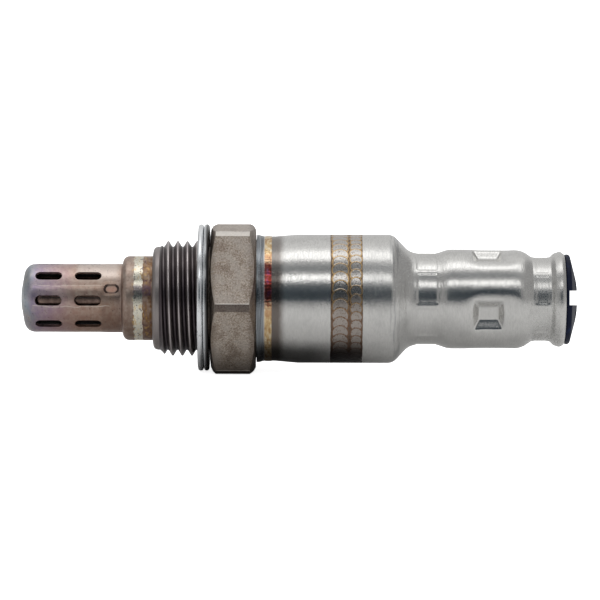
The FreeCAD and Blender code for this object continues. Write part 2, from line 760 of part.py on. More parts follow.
def contact(name, side_y, side_z):
    """A contact: its bowed tongue presses on the element, its barrel grips a lead."""
    body = new_body(name)
    sketch = sketch_on(body, f"{name}_tongue_outline", "XZ_Plane", away=f"-{side_y} * contact_offset")
    start = f"{HOLDER} + contact_start"
    pad_level = "(element_thickness / 2)"
    reach = f"{start} + contact_reach"
    rise_end = f"({HOLDER_END} - barrel_lead)"
    foot = f"{rise_end} + barrel_lead / 2"
    lift = "(lead_offset - contact_sheet / 2)"

    def level(height):
        return f"{side_z} * ({height})"

    outline(sketch, [
        (start, level(f"{pad_level} + contact_bow")),
        (f"{start} + contact_reach / 2", level(pad_level)),
        (reach, level(f"{pad_level} + contact_bow")),
        (rise_end, level(lift)),
        (foot, level(lift)),
        (foot, level(f"{lift} + contact_sheet")),
        (rise_end, level(f"{lift} + contact_sheet")),
        (reach, level(f"{pad_level} + contact_bow + contact_sheet")),
        (f"{start} + contact_reach / 2", level(f"{pad_level} + contact_sheet")),
        (start, level(f"{pad_level} + contact_bow + contact_sheet")),
    ])
    pad(body, sketch, "contact_width", "tongue", both=True)
    barrel = sketch_on(body, f"{name}_barrel_outline", "YZ_Plane", away=rise_end)
    centre = f"{side_y} * lead_offset", level("lead_offset")
    circle(barrel, *centre, "barrel_radius")
    circle(barrel, *centre, "barrel_radius - barrel_wall")
    pad(body, barrel, "barrel_length", "barrel")
    turn_with_element(body)


def lead_holes(body, start, length):
    holes = sketch_on(body, f"{body.Name}_lead_holes", "YZ_Plane", away=start)
    for side_y in (-1, 1):
        for side_z in (-1, 1):
            circle(holes, f"{side_y} * lead_offset", f"{side_z} * lead_offset", "lead_hole")
    pocket(body, holes, length, "lead_hole_cut")


def terminal_insulator():
    """The ceramic bush round the crimped barrels; the dents stop its collar."""
    body = new_body("terminal_insulator")
    collar = f"{TERMINAL} + terminal_ramp"
    waist = "(bulge_radius - dent_depth - sleeve_wall - terminal_clearance)"
    revolve(body, [
        (TERMINAL, "0"),
        (TERMINAL, HOLDER_RADIUS),
        (collar, BULGE_BORE),
        (f"{collar} + terminal_collar", BULGE_BORE),
        (f"{collar} + terminal_collar", waist),
        (TERMINAL_END, waist, "edge_break"),
        (TERMINAL_END, "0"),
    ])
    lead_holes(body, TERMINAL, "terminal_length")
    turn_with_element(body)


def lead_gland():
    """The rubber gland: its body fills the crimped neck, its cap closes the rim."""
    body = new_body("lead_gland")
    rim = "(rim_radius - rim_drop - sleeve_wall)"
    slope = "atan((bulge_radius - gland_neck_radius) / (gland_neck_start - bulge_end))"
    inset = f"(sleeve_wall + fit_clearance) * tan({slope} / 2)"
    revolve(body, [
        (TERMINAL_END, "0"),
        (TERMINAL_END, BULGE_BORE, "edge_break"),
        (f"{BULGE_END} - {inset}", BULGE_BORE, "bulge_round"),
        (f"{GLAND_NECK} - {inset}", GLAND_BORE, "step_round"),
        (GLAND_NECK_END, GLAND_BORE),
        (RIM, rim),
        (SLEEVE_END, rim),
        (SLEEVE_END, "gland_cap_radius", "gland_edge"),
        (f"{GLAND_END} - gland_crown", "gland_cap_radius", "gland_edge"),
        (GLAND_END, "gland_crown_start", "gland_crown_round"),
        (GLAND_END, "0"),
    ])
    lead_holes(body, TERMINAL_END, f"{GLAND_END} - {TERMINAL_END}")
    slot = sketch_on(body, "gland_slot_outline", "YZ_Plane", away=f"{GLAND_END} - gland_slot_depth")
    rectangle(slot, "0", "0", "(gland_cap_radius * 3)", "gland_slot_width")
    pocket(body, slot, "gland_slot_depth", "gland_slot")
    turn_with_element(body)


def check_and_write():
    """Stops on any failed object, then writes each piece to parts/NAME.step."""
    document.recompute()
    for thing in document.Objects:
        bad = {"Invalid", "Error"} & set(thing.State)
        assert not bad, f"{thing.Label} failed: {thing.State}"
    os.makedirs("parts", exist_ok=True)
    for body in parts:
        shape = body.Shape
        good = not shape.isNull() and shape.isValid() and shape.Volume > 0
        assert good, f"{body.Label} has no good shape"
        shape.exportStep(f"parts/{body.Label}.step")
        box = shape.BoundBox
        print(f"{body.Label}: {len(shape.Solids)} solid, {shape.Volume:.1f} mm3, "
              f"x {box.XMin:.2f} to {box.XMax:.2f}")


hex_shell()
gasket()
outer_shield()
inner_shield()
sensing_element()
seal_stack()
outer_sleeve()
holder_half("contact_holder_upper", 1)
holder_half("contact_holder_lower", -1)
holder_clip()
holder_spring()
for number, (side_y, side_z) in enumerate(((-1, 1), (1, 1), (-1, -1), (1, -1)), 1):
    contact(f"contact_{number}", side_y, side_z)
terminal_insulator()
lead_gland()
check_and_write()
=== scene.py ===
# %% [markdown]
# # An exhaust oxygen sensor
#
# The sensor lies on its side. From the left it has a slotted tip, a threaded nose with a
# folded gasket, a hexagon, and a long steel sleeve that steps down to a rubber gland. Almost
# every piece is turned or drawn about one axis, the X axis. So most pieces here start as
# one point, are drawn out into a profile, and are spun about that axis. Then they are cut,
# crimped and dented, in the order in which a workshop would do it.
#
# The solid model comes first. It gives each piece its place, and the insides of the sensor
# keep their solid meshes and only get finishes.

# %% Load the solid model
import json
import math

import bpy
import numpy as np
from mathutils import Matrix, Vector

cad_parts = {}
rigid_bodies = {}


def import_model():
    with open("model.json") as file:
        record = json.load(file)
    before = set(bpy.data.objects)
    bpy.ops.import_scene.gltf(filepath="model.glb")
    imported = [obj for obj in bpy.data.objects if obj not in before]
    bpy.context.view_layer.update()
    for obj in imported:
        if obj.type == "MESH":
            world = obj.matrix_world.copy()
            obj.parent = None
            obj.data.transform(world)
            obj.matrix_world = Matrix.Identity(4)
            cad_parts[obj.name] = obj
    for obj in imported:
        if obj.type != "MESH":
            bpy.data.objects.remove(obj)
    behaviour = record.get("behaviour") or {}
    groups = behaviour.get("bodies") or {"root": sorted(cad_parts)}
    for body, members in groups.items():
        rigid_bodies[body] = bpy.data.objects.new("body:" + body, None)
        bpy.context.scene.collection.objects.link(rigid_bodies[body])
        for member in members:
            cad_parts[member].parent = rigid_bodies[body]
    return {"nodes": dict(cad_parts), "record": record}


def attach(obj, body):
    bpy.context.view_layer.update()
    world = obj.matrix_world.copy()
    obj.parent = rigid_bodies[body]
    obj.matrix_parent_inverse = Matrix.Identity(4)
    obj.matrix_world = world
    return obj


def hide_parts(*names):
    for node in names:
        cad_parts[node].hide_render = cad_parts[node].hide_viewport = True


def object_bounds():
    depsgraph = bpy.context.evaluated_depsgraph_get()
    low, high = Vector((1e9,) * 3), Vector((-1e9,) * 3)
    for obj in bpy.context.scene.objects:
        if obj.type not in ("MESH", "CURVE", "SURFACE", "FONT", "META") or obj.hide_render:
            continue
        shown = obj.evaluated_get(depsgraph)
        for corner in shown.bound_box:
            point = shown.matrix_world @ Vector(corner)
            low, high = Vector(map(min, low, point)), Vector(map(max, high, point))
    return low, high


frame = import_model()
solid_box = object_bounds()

MM = 0.001
print("solid box in mm:", [[round(v / MM, 2) for v in corner] for corner in solid_box])

# %% [markdown]
# ## The camera
#
# The photograph was taken from far off with a long lens, a little above the sensor's
# axis, so the sensor shows almost no perspective. A camera could be placed by eye. Here
# it is placed by its aim, its height and its distance, because those three can be set
# against the picture one at a time.

# %% Place the camera
AIM = Vector((15.9, 0, -0.225)) * MM
CAMERA_HEIGHT = math.radians(7)
CAMERA_DISTANCE = 547 * MM
CAMERA_ROLL = math.radians(0.16)
CAMERA_LENS = 209.4

camera = bpy.data.objects.new("camera", bpy.data.cameras.new("camera"))
bpy.context.scene.collection.objects.link(camera)
bpy.context.scene.camera = camera
camera.data.lens = CAMERA_LENS
camera.data.clip_start = 10 * MM
away = Vector((0, -math.cos(CAMERA_HEIGHT), math.sin(CAMERA_HEIGHT)))
camera.location = AIM + away * CAMERA_DISTANCE
facing = away.to_track_quat("Z", "Y").to_matrix()
camera.rotation_euler = (facing @ Matrix.Rotation(CAMERA_ROLL, 3, "Z")).to_euler()
print("camera at", [round(v, 3) for v in camera.location])

# %% [markdown]
# ## Writing shaders as sums
#
# A finish in Blender is a net of nodes. A long sum of Math nodes is slow to read and
# slow to write, so two small classes stand in for it. `Signal` is one output socket, and
# Python's own signs on it add Math nodes. `Finish` is one material, and adds any other
# node from its settings, which are set first, and the values or links of its sockets.

# %% Signals and finishes
class Signal:
    """One output of a node. Signs such as + and * on it add Math nodes."""

    def __init__(self, finish, socket):
        self.finish = finish
        self.socket = socket

    def maths(self, operation, *values):
        return self.finish.node("Math", {"operation": operation}, dict(enumerate(values)))

    def __add__(self, other):
        return self.maths("ADD", self, other)

    def __sub__(self, other):
        return self.maths("SUBTRACT", self, other)

    def __rsub__(self, other):
        return self.maths("SUBTRACT", other, self)

    def __mul__(self, other):
        return self.maths("MULTIPLY", self, other)

    def __truediv__(self, other):
        return self.maths("DIVIDE", self, other)

    def __pow__(self, other):
        return self.maths("POWER", self, other)

    def __abs__(self):
        return self.maths("ABSOLUTE", self)

    __radd__ = __add__
    __rmul__ = __mul__

    def upper(self, other):
        return self.maths("MAXIMUM", self, other)

    def bearing(self, ahead):
        """The angle in radians of a point that lies this far aside and that far ahead."""
        return self.maths("ARCTAN2", self, ahead)

    def wrapped(self, half):
        """The same angle, counted from -half to half."""
        return self.maths("WRAP", self, half, -half)

    def fraction(self):
        return self.maths("FRACT", self)

    def sine(self):
        return self.maths("SINE", self)

    def rise(self, start, end):
        """0 before start and 1 after end, with a smooth climb between."""
        settings = {"interpolation_type": "SMOOTHSTEP"}
        return self.finish.node("MapRange", settings, {"Value": self, "From Min": start, "From Max": end})

    def band(self, start, end, soft):
        """1 between start and end, and 0 outside, with soft edges."""
        return self.rise(start - soft, start) * (1 - self.rise(end, end + soft))


class Finish:
    """A material that is being built, with its main shader and its place on the sensor."""

    def __init__(self, name, tree=None, **levels):
        if tree is None:
            self.material = bpy.data.materials.new(name)
            self.material.use_nodes = True
            tree = self.material.node_tree
            self.shader = tree.nodes["Principled BSDF"]
            self.paint(**levels)
        self.tree = tree

    def node(self, kind, settings=None, values=None, output=0):
        made = self.tree.nodes.new("ShaderNode" + kind)
        for key, setting in (settings or {}).items():
            setattr(made, key, setting)
        for key, given in (values or {}).items():
            self.feed(made.inputs[key], given)
        return Signal(self, made.outputs[output])

    def feed(self, socket, given):
        if isinstance(given, Signal):
            self.tree.links.new(given.socket, socket)
        else:
            socket.default_value = given

    def parts(self, vector):
        """The X, Y and Z of a vector."""
        outputs = self.node("SeparateXYZ", values={0: vector}).socket.node.outputs
        return [Signal(self, output) for output in outputs]

    def place(self):
        """Where a point is: along the axis, out from it, and its turn from the top, in mm and degrees."""
        self.spot = self.node("TexCoord", output="Object")
        x, y, z = (part / MM for part in self.parts(self.spot))
        radius = (y * y + z * z) ** 0.5
        turn = (0 - y).bearing(z) * math.degrees(1)
        return x, radius, turn

    def grain(self, size, detail=2, roughness=0.5):
        """Noise whose grains have these sizes in mm along X, Y and Z."""
        stretch = tuple(1 / (MM * s) for s in size)
        spot = self.node("Mapping", values={"Vector": self.spot, "Scale": stretch})
        values = {"Vector": spot, "Scale": 1, "Detail": detail, "Roughness": roughness}
        return self.node("TexNoise", values=values)

    def blend(self, factor, below, above, mode="MIX"):
        """A mix of two colours. The signal says how much of the one above is seen."""
        settings = {"data_type": "RGBA", "blend_type": mode, "clamp_factor": True}
        return self.node("Mix", settings, {0: factor, 6: below, 7: above}, 2)

    def coats(self, colour, *coats):
        """A colour under coats, each given as how much of it is seen and its own colour."""
        for seen, coat in coats:
            colour = self.blend(seen, colour, coat)
        return colour

    def ramp(self, signal, stops):
        """A colour for each value of the signal, from stops of (value, colour)."""
        made = self.node("ValToRGB", values={0: signal})
        scale = made.socket.node.color_ramp
        for _ in stops[2:]:
            scale.elements.new(0.5)
        for element, (value, colour) in zip(scale.elements, stops):
            element.position = value
            element.color = colour
        return made

    def relief(self, *layers):
        """Bumps laid over each other, each given as a height signal and its depth in mm."""
        normal = None
        for height, depth in layers:
            values = {"Height": height, "Distance": depth * MM}
            if normal is not None:
                values["Normal"] = normal
            normal = self.node("Bump", values=values)
        return normal

    def paint(self, **sockets):
        """Gives the main shader's sockets, named in small letters, their values or links."""
        for name, given in sockets.items():
            self.feed(self.shader.inputs[name.replace("_", " ").title()], given)


def shade(red, green, blue):
    """A screen colour, from 0 to 255, as the linear colour that shaders use."""
    linear = [(c / 255 / 12.92) if c < 11 else ((c / 255 + 0.055) / 1.055) ** 2.4
              for c in (red, green, blue)]
    return (*linear, 1)


# %% [markdown]
# ## The light
#
# Bright steel has hardly any colour of its own: it shows the studio. The sleeve in the
# photograph carries a broad soft band from a lamp overhead, a narrow one from a lamp in
# front, and a dark one where it shows the dark room below that lamp. Area lamps could make
# the two bright bands. A studio painted on the world by its height needs fewer samples,
# and each band runs the whole length of the sleeve. Past its two ends this studio is plain
# grey, so that the rims and the gland's face stay calm. Only reflections see the bands.
# All other light comes from a plain white room.

# %% Paint the studio
# Each stop has its height in degrees, from the front over the top to the back, its
# brightness, and how far its colour leans to blue.
STUDIO = [(-180, 0.5, 0), (-1, 0.5, 0), (1.5, 0.045, 1), (12, 0.028, 1), (18, 0.034, 1),
          (25, 0.058, 0.7), (31, 0.085, 0.4), (35, 0.17, 0.2), (39, 0.6, 0), (41.5, 1.2, 0),
          (48, 1.2, 0), (51, 0.45, 0), (56, 0.22, 0.1), (62, 0.165, 0.2), (70, 0.25, 0.1),
          (77, 0.36, 0), (80.5, 0.75, 0), (84, 1.1, 0), (98, 1.1, 0), (104, 0.7, 0), (114, 0.56, 0),
          (140, 0.46, 0), (172, 0.44, 0)]
LESS_RED = 0.27
MORE_BLUE = 0.25
END_COLOUR = (0.25, 0.25, 0.25, 1)
STUDIO_STRENGTH = 1.5
ROOM_STRENGTH = 1.12
WHITE = (1, 1, 1, 1)

world = bpy.data.worlds.new("studio")
world.use_nodes = True
bpy.context.scene.world = world
bpy.context.scene.view_settings.view_transform = "Standard"
studio = Finish("studio", world.node_tree)
aside, ahead, up = studio.parts(studio.node("TexCoord", output="Generated"))
height = up.bearing(0 - ahead)
stops = [((degrees + 180) / 360, (level * (1 - LESS_RED * cool), level, level * (1 + MORE_BLUE * cool), 1))
         for degrees, level, cool in STUDIO]
bands = studio.ramp(height / math.tau + 0.5, stops)
bands = studio.blend(abs(aside).rise(0.35, 0.62), bands, END_COLOUR)
mirrored = studio.node("LightPath", output="Is Glossy Ray")
background = world.node_tree.nodes["Background"]
studio.feed(background.inputs["Color"], studio.blend(mirrored, WHITE, bands))
studio.feed(background.inputs["Strength"], mirrored * (STUDIO_STRENGTH - ROOM_STRENGTH) + ROOM_STRENGTH)
print("studio stops:", len(STUDIO))

# %% [markdown]
# ## The floor
#
# The floor is as white as the photograph's ground. The steel shows it too, and there it is
# a grey table with painted light: a little darker far off, and with a painted shadow
# darkest right under the middle of the sensor, where the sensor keeps the light off it.

# %% Lay the floor
FLOOR_SIZE = 7.0
FLOOR_GLOW = 0.85
TABLE_LEVEL = 0.66
FAR_DIMMING = 0.27
SHADE_DIMMING = 0.56

bpy.ops.mesh.primitive_plane_add(size=FLOOR_SIZE, location=(0, 0, solid_box[0][2]))
floor = bpy.context.object
floor.name = "floor"
table = Finish("table_white", roughness=0.6, emission_color=WHITE)
along, across, _ = (part / MM for part in table.parts(table.node("TexCoord", output="Object")))
# Painted light, seen only in reflections: the table is painted dimmer far off, and a painted shadow lies
# under the middle of the sensor.
far_off = abs(across).rise(25, 150)
painted_sensor_shadow = (1 - abs(across).rise(5.0, 11.5)) * along.rise(-3, 3) * (1 - along.rise(17, 27))
level = TABLE_LEVEL - far_off * FAR_DIMMING - painted_sensor_shadow * SHADE_DIMMING
grey = table.node("CombineColor", values={0: level, 1: level, 2: level})
seen_in_steel = table.node("LightPath", output="Is Glossy Ray")
seen_directly = table.node("LightPath", output="Is Camera Ray")
table.paint(base_color=table.blend(seen_in_steel, (0.9, 0.9, 0.9, 1), grey),
            emission_strength=seen_directly * FLOOR_GLOW)
floor.data.materials.append(table.material)
print("floor at", round(floor.location.z / MM, 2), "mm")

# %% [markdown]
# ## Turning a profile
#
# A lathe makes a piece from its profile. Blender could do this with the Screw modifier or
# with the Spin operator. Spin is used for the pieces, because it can be applied in edit
# mode straight after the profile is drawn. The helpers below round the corners of a
# profile, add points where a later dent needs them, and spin the line.

# %% Round and divide a profile
def rounded(corners, step=0.3):
    """Corners (x, radius) or (x, radius, rounding) as points with arcs, all in mm."""
    points = []
    for k, (x, radius, *rounding) in enumerate(corners):
        here = Vector((x, radius))
        if not rounding:
            points.append(here)
            continue
        back = (Vector(corners[k - 1][:2]) - here).normalized()
        ahead = (Vector(corners[(k + 1) % len(corners)][:2]) - here).normalized()
        half = back.angle(ahead) / 2
        centre = here + (back + ahead).normalized() * rounding[0] / math.sin(half)
        start = here + back * rounding[0] / math.tan(half) - centre
        end = here + ahead * rounding[0] / math.tan(half) - centre
        swing = math.atan2(start.cross(end), start.dot(end))
        count = max(2, math.ceil(abs(swing) * rounding[0] / step))
        points += [centre + Matrix.Rotation(swing * n / count, 2) @ start for n in range(count + 1)]
    return points


def divided(points, step, start=-math.inf, end=math.inf):
    """Adds points to the runs of a line between start and end, no further apart than step."""
    made = [points[0]]
    for here, there in zip(points, points[1:]):
        inside = max(here.x, there.x) > start and min(here.x, there.x) < end
        count = math.ceil((there - here).length / step) if inside else 1
        made += [here.lerp(there, n / count) for n in range(1, count + 1)]
    return made


def inner_line(points, wall, every=3):
    """The inside of a sheet whose outside is this line, from its far end back to its start."""
    inside = []
    for k in range(len(points)):
        along = points[min(k + 1, len(points) - 1)] - points[max(k - 1, 0)]
        inside.append(points[k] + Vector((along.y, -along.x)).normalized() * wall)
    kept = inside[::every]
    if (len(points) - 1) % every:
        kept.append(inside[-1])
    return kept[::-1]


# %% Spin a line about the axis
def draw_line(name, points):
    """One vertex, drawn out from point to point of a profile in the XZ plane."""
    bpy.ops.mesh.primitive_plane_add(size=MM)
    piece = bpy.context.object
    piece.name = name
    piece.data.name = name
    bpy.ops.object.mode_set(mode="EDIT")
    bpy.ops.mesh.merge(type="CENTER")
    bpy.ops.transform.translate(value=(points[0].x * MM, 0, points[0].y * MM))
    for here, there in zip(points, points[1:]):
        step = (there - here) * MM
        bpy.ops.mesh.extrude_vertices_move(TRANSFORM_OT_translate={"value": (step.x, 0, step.y)})
    return piece


def tidy_mesh():
    """Merges doubles and turns all faces outwards, then leaves edit mode."""
    bpy.ops.mesh.select_all(action="SELECT")
    bpy.ops.mesh.remove_doubles(threshold=0.001 * MM)
    bpy.ops.mesh.normals_make_consistent(inside=False)
    bpy.ops.object.mode_set(mode="OBJECT")


def turned(name, points, around):
    """A turned piece: the line is spun round the X axis in this many steps."""
    piece = draw_line(name, points)
    bpy.ops.mesh.select_all(action="SELECT")
    bpy.ops.mesh.spin(steps=around, angle=math.tau, center=(0, 0, 0), axis=(1, 0, 0))
    tidy_mesh()
    print(name, "has", len(piece.data.polygons), "faces")
    return piece


# %% [markdown]
# ## Pressing and cutting
#
# A crimp, a stake or a dent is a patch of the sheet that a tool has moved. In Blender
# that is a picked patch which is moved or scaled, with proportional editing to carry the
# sheet round it along. Holes are cut with the Boolean modifier, as a punch or a milling
# cutter would cut them.

# %% Pick, press and cut
def take(*pieces):
    """Selects these pieces alone and makes the first one active."""
    bpy.ops.object.select_all(action="DESELECT")
    for piece in pieces:
        piece.select_set(True)
    bpy.context.view_layer.objects.active = pieces[0]


def pick(piece, chosen):
    """Opens a piece in edit mode with the points for which chosen(x, radius, turn) holds."""
    take(piece)
    spots = np.empty(len(piece.data.vertices) * 3)
    piece.data.vertices.foreach_get("co", spots)
    x, y, z = spots.reshape(-1, 3).T / MM
    bpy.ops.object.mode_set(mode="EDIT")
    bpy.ops.mesh.select_mode(type="VERT")
    bpy.ops.mesh.select_all(action="DESELECT")
    bpy.ops.object.mode_set(mode="OBJECT")
    picked = chosen(x, np.hypot(y, z), np.degrees(np.arctan2(-y, z)))
    piece.data.vertices.foreach_set("select", picked)
    bpy.ops.object.mode_set(mode="EDIT")
    return int(picked.sum())


def patch(place, half_length, centre, half_turn):
    """Chooses the points near a place on the axis and near a turn about it."""
    def chosen(x, _, turn):
        apart = np.abs((turn - centre + 180) % 360 - 180)
        return (abs(x - place) < half_length) & (apart < half_turn)

    return chosen


def press(piece, chosen, turn, depth, reach):
    """Pushes a patch towards the axis, and the sheet within reach of it goes along."""
    count = pick(piece, chosen)
    angle = math.radians(turn)
    inwards = Vector((0, math.sin(angle), -math.cos(angle))) * depth * MM
    bpy.ops.transform.translate(value=inwards, use_proportional_edit=True,
                                proportional_edit_falloff="SMOOTH", proportional_size=reach * MM)
    bpy.ops.object.mode_set(mode="OBJECT")
    return count


def cut(piece, tool):
    """Cuts a piece with a tool, which is used up."""
    take(piece)
    modifier = piece.modifiers.new("cut", "BOOLEAN")
    modifier.object = tool
    modifier.operation = "DIFFERENCE"
    modifier.solver = "EXACT"
    bpy.ops.object.modifier_apply(modifier=modifier.name)
    bpy.data.objects.remove(tool)


def block(place, size):
    """A block of this size round this place, both in mm."""
    bpy.ops.mesh.primitive_cube_add(size=MM, location=[v * MM for v in place], scale=size)
    bpy.ops.object.transform_apply()
    return bpy.context.object


def turn_mesh(piece, turn):
    """Turns a piece's mesh about the axis, by degrees."""
    piece.data.transform(Matrix.Rotation(math.radians(turn), 4, "X"))


def smooth(piece, degrees=32):
    """Smooth shading, with the edges sharper than this kept crisp."""
    take(piece)
    bpy.ops.object.shade_smooth_by_angle(angle=math.radians(degrees))


# %% [markdown]
# ## The slotted shield
#
# The tip is a thin steel cup that lets exhaust gas in through sixteen slots with round
# ends, and it steps out to a skirt that is welded on the threaded shell. Punching has
# pulled the tube a little flat along each line of slots, and three stakes just before the
# step hold the inner cup. The shield is spun with its wall, flattened along the slot lines
# and pressed in at the stakes. Then one joined set of cutters punches the slots and sinks
# the floors of the stakes.

# %% Turn the shield
SHIELD_WALL = 0.45
SHIELD_TIP = -27.72
SHIELD_RADIUS = 5.38
SHOULDER = -11.8
SKIRT_RADIUS = 6.6
NOSE = -7.05

shield_outside = divided(rounded([
    (SHIELD_TIP, 0),
    (SHIELD_TIP, 1.2, 8),
    (SHIELD_TIP + 0.8, SHIELD_RADIUS, 1.77),
    (SHOULDER, SHIELD_RADIUS, 0.2),
    (SHOULDER, SKIRT_RADIUS, 1.0),
    (NOSE, SKIRT_RADIUS),
], 0.15), 0.3, SHIELD_TIP, SHOULDER + 0.1)
shield = turned("slotted_shield", shield_outside + inner_line(shield_outside, SHIELD_WALL), 192)

# %% Flatten the slot lines and press the stakes
SLOT_TURN = -2.6
SLOT_TURNS = [SLOT_TURN + 45 * k + 90 for k in range(8)]
SLOT_ROWS = (-23.2, -17.07)
FLAT_PLACE = -20.3
FLAT_HALF_LENGTH = 5.2
FLAT_HALF_TURN = 9
FLAT_SCALE = 0.993
FLAT_REACH = 1.3
STAKE_PLACE = NOSE - 6.35
STAKE_TURNS = (67, 187, 307)
STAKE_PRESSED = 0.1
STAKE_REACH = 0.8

for turn in SLOT_TURNS:
    pick(shield, patch(FLAT_PLACE, FLAT_HALF_LENGTH, turn, FLAT_HALF_TURN))
    bpy.ops.transform.resize(value=(1, FLAT_SCALE, FLAT_SCALE), center_override=(0, 0, 0),
                             use_proportional_edit=True, proportional_edit_falloff="SMOOTH",
                             proportional_size=FLAT_REACH * MM)
    bpy.ops.object.mode_set(mode="OBJECT")
for turn in STAKE_TURNS:
    moved = press(shield, patch(STAKE_PLACE, 1.1, turn, 8), turn, STAKE_PRESSED, STAKE_REACH)
print("points under each stake:", moved)

# %% Punch the slots
PUNCH_HEAD = 1.4
FLARE_HALF_HEIGHT = 0.12


def slot_punch(place, turn, depth=1.1, length=4.1, width=1.6, flare=0.16):
    """A round-ended punch that flares at the tube's outside, so the slot's rim is broken."""
    bpy.ops.mesh.primitive_circle_add(vertices=32, radius=width / 2 * MM, fill_type="NGON",
                                      location=(place * MM, 0, (SHIELD_RADIUS - depth) * MM))
    tool = bpy.context.object
    bpy.ops.object.transform_apply(location=True)
    for side in (-1, 1):
        pick(tool, lambda x, *_: side * (x - place) > 0.01)
        bpy.ops.transform.translate(value=(side * (length - width) / 2 * MM, 0, 0))
        bpy.ops.object.mode_set(mode="OBJECT")
    bpy.ops.object.mode_set(mode="EDIT")
    bpy.ops.mesh.select_all(action="SELECT")
    steps = ((depth - FLARE_HALF_HEIGHT, 0), (FLARE_HALF_HEIGHT, flare / 2), (PUNCH_HEAD, flare))
    for lift, spread in steps:
        bpy.ops.mesh.extrude_region_move(TRANSFORM_OT_translate={"value": (0, 0, lift * MM)})
        bpy.ops.transform.resize(value=(1 + 2 * spread / length, 1 + 2 * spread / width, 1))
    tidy_mesh()
    turn_mesh(tool, turn)
    return tool


def joined(pieces):
    """Several pieces as one mesh."""
    take(*pieces)
    bpy.ops.object.join()
    return pieces[0]


punches = [slot_punch(place, turn) for place in SLOT_ROWS for turn in SLOT_TURNS]
punches += [slot_punch(STAKE_PLACE, turn, depth=0.32, length=2.1, width=1.35, flare=0.1)
            for turn in STAKE_TURNS]
cut(shield, joined(punches))
smooth(shield)
print("shield faces after punching:", len(shield.data.polygons))

# %% [markdown]
# ## The inner cup
#
# The inner cup stands close inside the shield, so the slots show its bright wall straight
# ahead and only darkness beside it. It is spun with its wall, as the shield is, has a gas
# hole in its dome, and its rim flares out onto the shell's nose. Its other gas holes are
# left out, because no slot shows one.

# %% Turn the inner cup
INNER_TIP = -25.9
INNER_HOLE = 0.7
INNER_RADIUS = 4.15
INNER_END = -11.35
INNER_RIM = 5.5
INNER_WALL = 0.3

inner_outside = rounded([
    (INNER_TIP, INNER_HOLE),
    (INNER_TIP, INNER_RADIUS, 1.2),
    (INNER_END, INNER_RADIUS),
    (INNER_END, INNER_RIM),
], 0.2)
inner_inside = inner_line(inner_outside, INNER_WALL, 1)
inner_cup = turned("inner_cup", inner_outside + inner_inside + inner_outside[:1], 96)
smooth(inner_cup)

# %% [markdown]
# ## The threaded shell
#
# The shell is the sensor's backbone: a bar turned outside and inside, threaded M18 x 1.5,
# with a hexagon for a 22 mm wrench and a lip rolled over the seal. A thread could be faked
# with a bump, but its teeth show on the outline, so it is cut: a V-shaped tool is wound
# along a helix with the Screw modifier, and the Boolean takes it away. The chamfered ends
# of the thread then run out by themselves, as they do on the real one. Six blocks mill the
# flats, and the turned chamfers leave the curved edges that every hexagon has.

# %% Turn the shell
SHELL_TIP = -11.05
NOSE_RADIUS = 6.1
PILOT_RADIUS = 8.1
THREAD_RADIUS = 9.0
RELIEF_RADIUS = 8.05
HEX_FRONT = 2.0
HEX_BACK = 9.0
HEX_FACE = 10.8
HEX_CORNER = 12.53
BOSS_RADIUS = 9.21
BOSS_END = 13.15
LIP_RADIUS = 7.4
LIP_END = 17.0
LIP_INNER_FACE = 15.7
BORE_RADIUS = 5.6
NOSE_BORE = 3.3

shell_line = rounded([
    (SHELL_TIP, NOSE_BORE),
    (SHELL_TIP, 5.45),
    (-10.4, NOSE_RADIUS),
    (NOSE, NOSE_RADIUS),
    (NOSE, PILOT_RADIUS, 0.75),
    (-5.95, PILOT_RADIUS),
    (-5.05, THREAD_RADIUS),
    (-0.1, THREAD_RADIUS),
    (0.85, RELIEF_RADIUS),
    (HEX_FRONT, RELIEF_RADIUS),
    (HEX_FRONT, HEX_FACE),
    (HEX_FRONT + 0.85, HEX_CORNER),
    (HEX_BACK - 0.9, HEX_CORNER),
    (HEX_BACK, HEX_FACE),
    (HEX_BACK, BOSS_RADIUS),
    (BOSS_END, BOSS_RADIUS, 0.3),
    (BOSS_END, LIP_RADIUS),
    (LIP_END, LIP_RADIUS, 1.1),
    (LIP_END, 4.6),
    (LIP_INNER_FACE, 4.6),
    (LIP_INNER_FACE, BORE_RADIUS),
    (-3.4, BORE_RADIUS),
    (-3.4, NOSE_BORE),
    (SHELL_TIP, NOSE_BORE),
])
shell = turned("threaded_shell", shell_line, 192)

# %% Cut the thread
PITCH = 1.5
THREAD_ROOT = 8.12
THREAD_START = -6.96
THREAD_TURNS = 5
GROOVE_TOP = 9.15
GROOVE_HALF = 0.74
ROOT_HALF = 0.12

groove_line = rounded([
    (THREAD_START - GROOVE_HALF, GROOVE_TOP),
    (THREAD_START - ROOT_HALF, THREAD_ROOT, 0.12),
    (THREAD_START + ROOT_HALF, THREAD_ROOT, 0.12),
    (THREAD_START + GROOVE_HALF, GROOVE_TOP),
], 0.08)
helix = draw_line("thread_tool", groove_line + groove_line[:1])
tidy_mesh()
winding = helix.modifiers.new("winding", "SCREW")
winding.axis = "X"
winding.angle = math.tau
winding.screw_offset = PITCH * MM
winding.iterations = THREAD_TURNS
winding.steps = winding.render_steps = 96
bpy.ops.object.modifier_apply(modifier=winding.name)
bpy.ops.object.mode_set(mode="EDIT")
bpy.ops.mesh.select_all(action="SELECT")
bpy.ops.mesh.fill_holes(sides=0)
tidy_mesh()
cut(shell, helix)
print("shell faces after threading:", len(shell.data.polygons))

# %% Mill the hexagon
HEX_FLATS = 22.25
MILL_SIZE = (8.0, 16.0, 3.0)

for k in range(6):
    mill = block(((HEX_FRONT + HEX_BACK) / 2, 0, (HEX_FLATS + MILL_SIZE[2]) / 2), MILL_SIZE)
    turn_mesh(mill, 60 * k)
    cut(shell, mill)
smooth(shell, 25)
print("shell faces after milling:", len(shell.data.polygons))

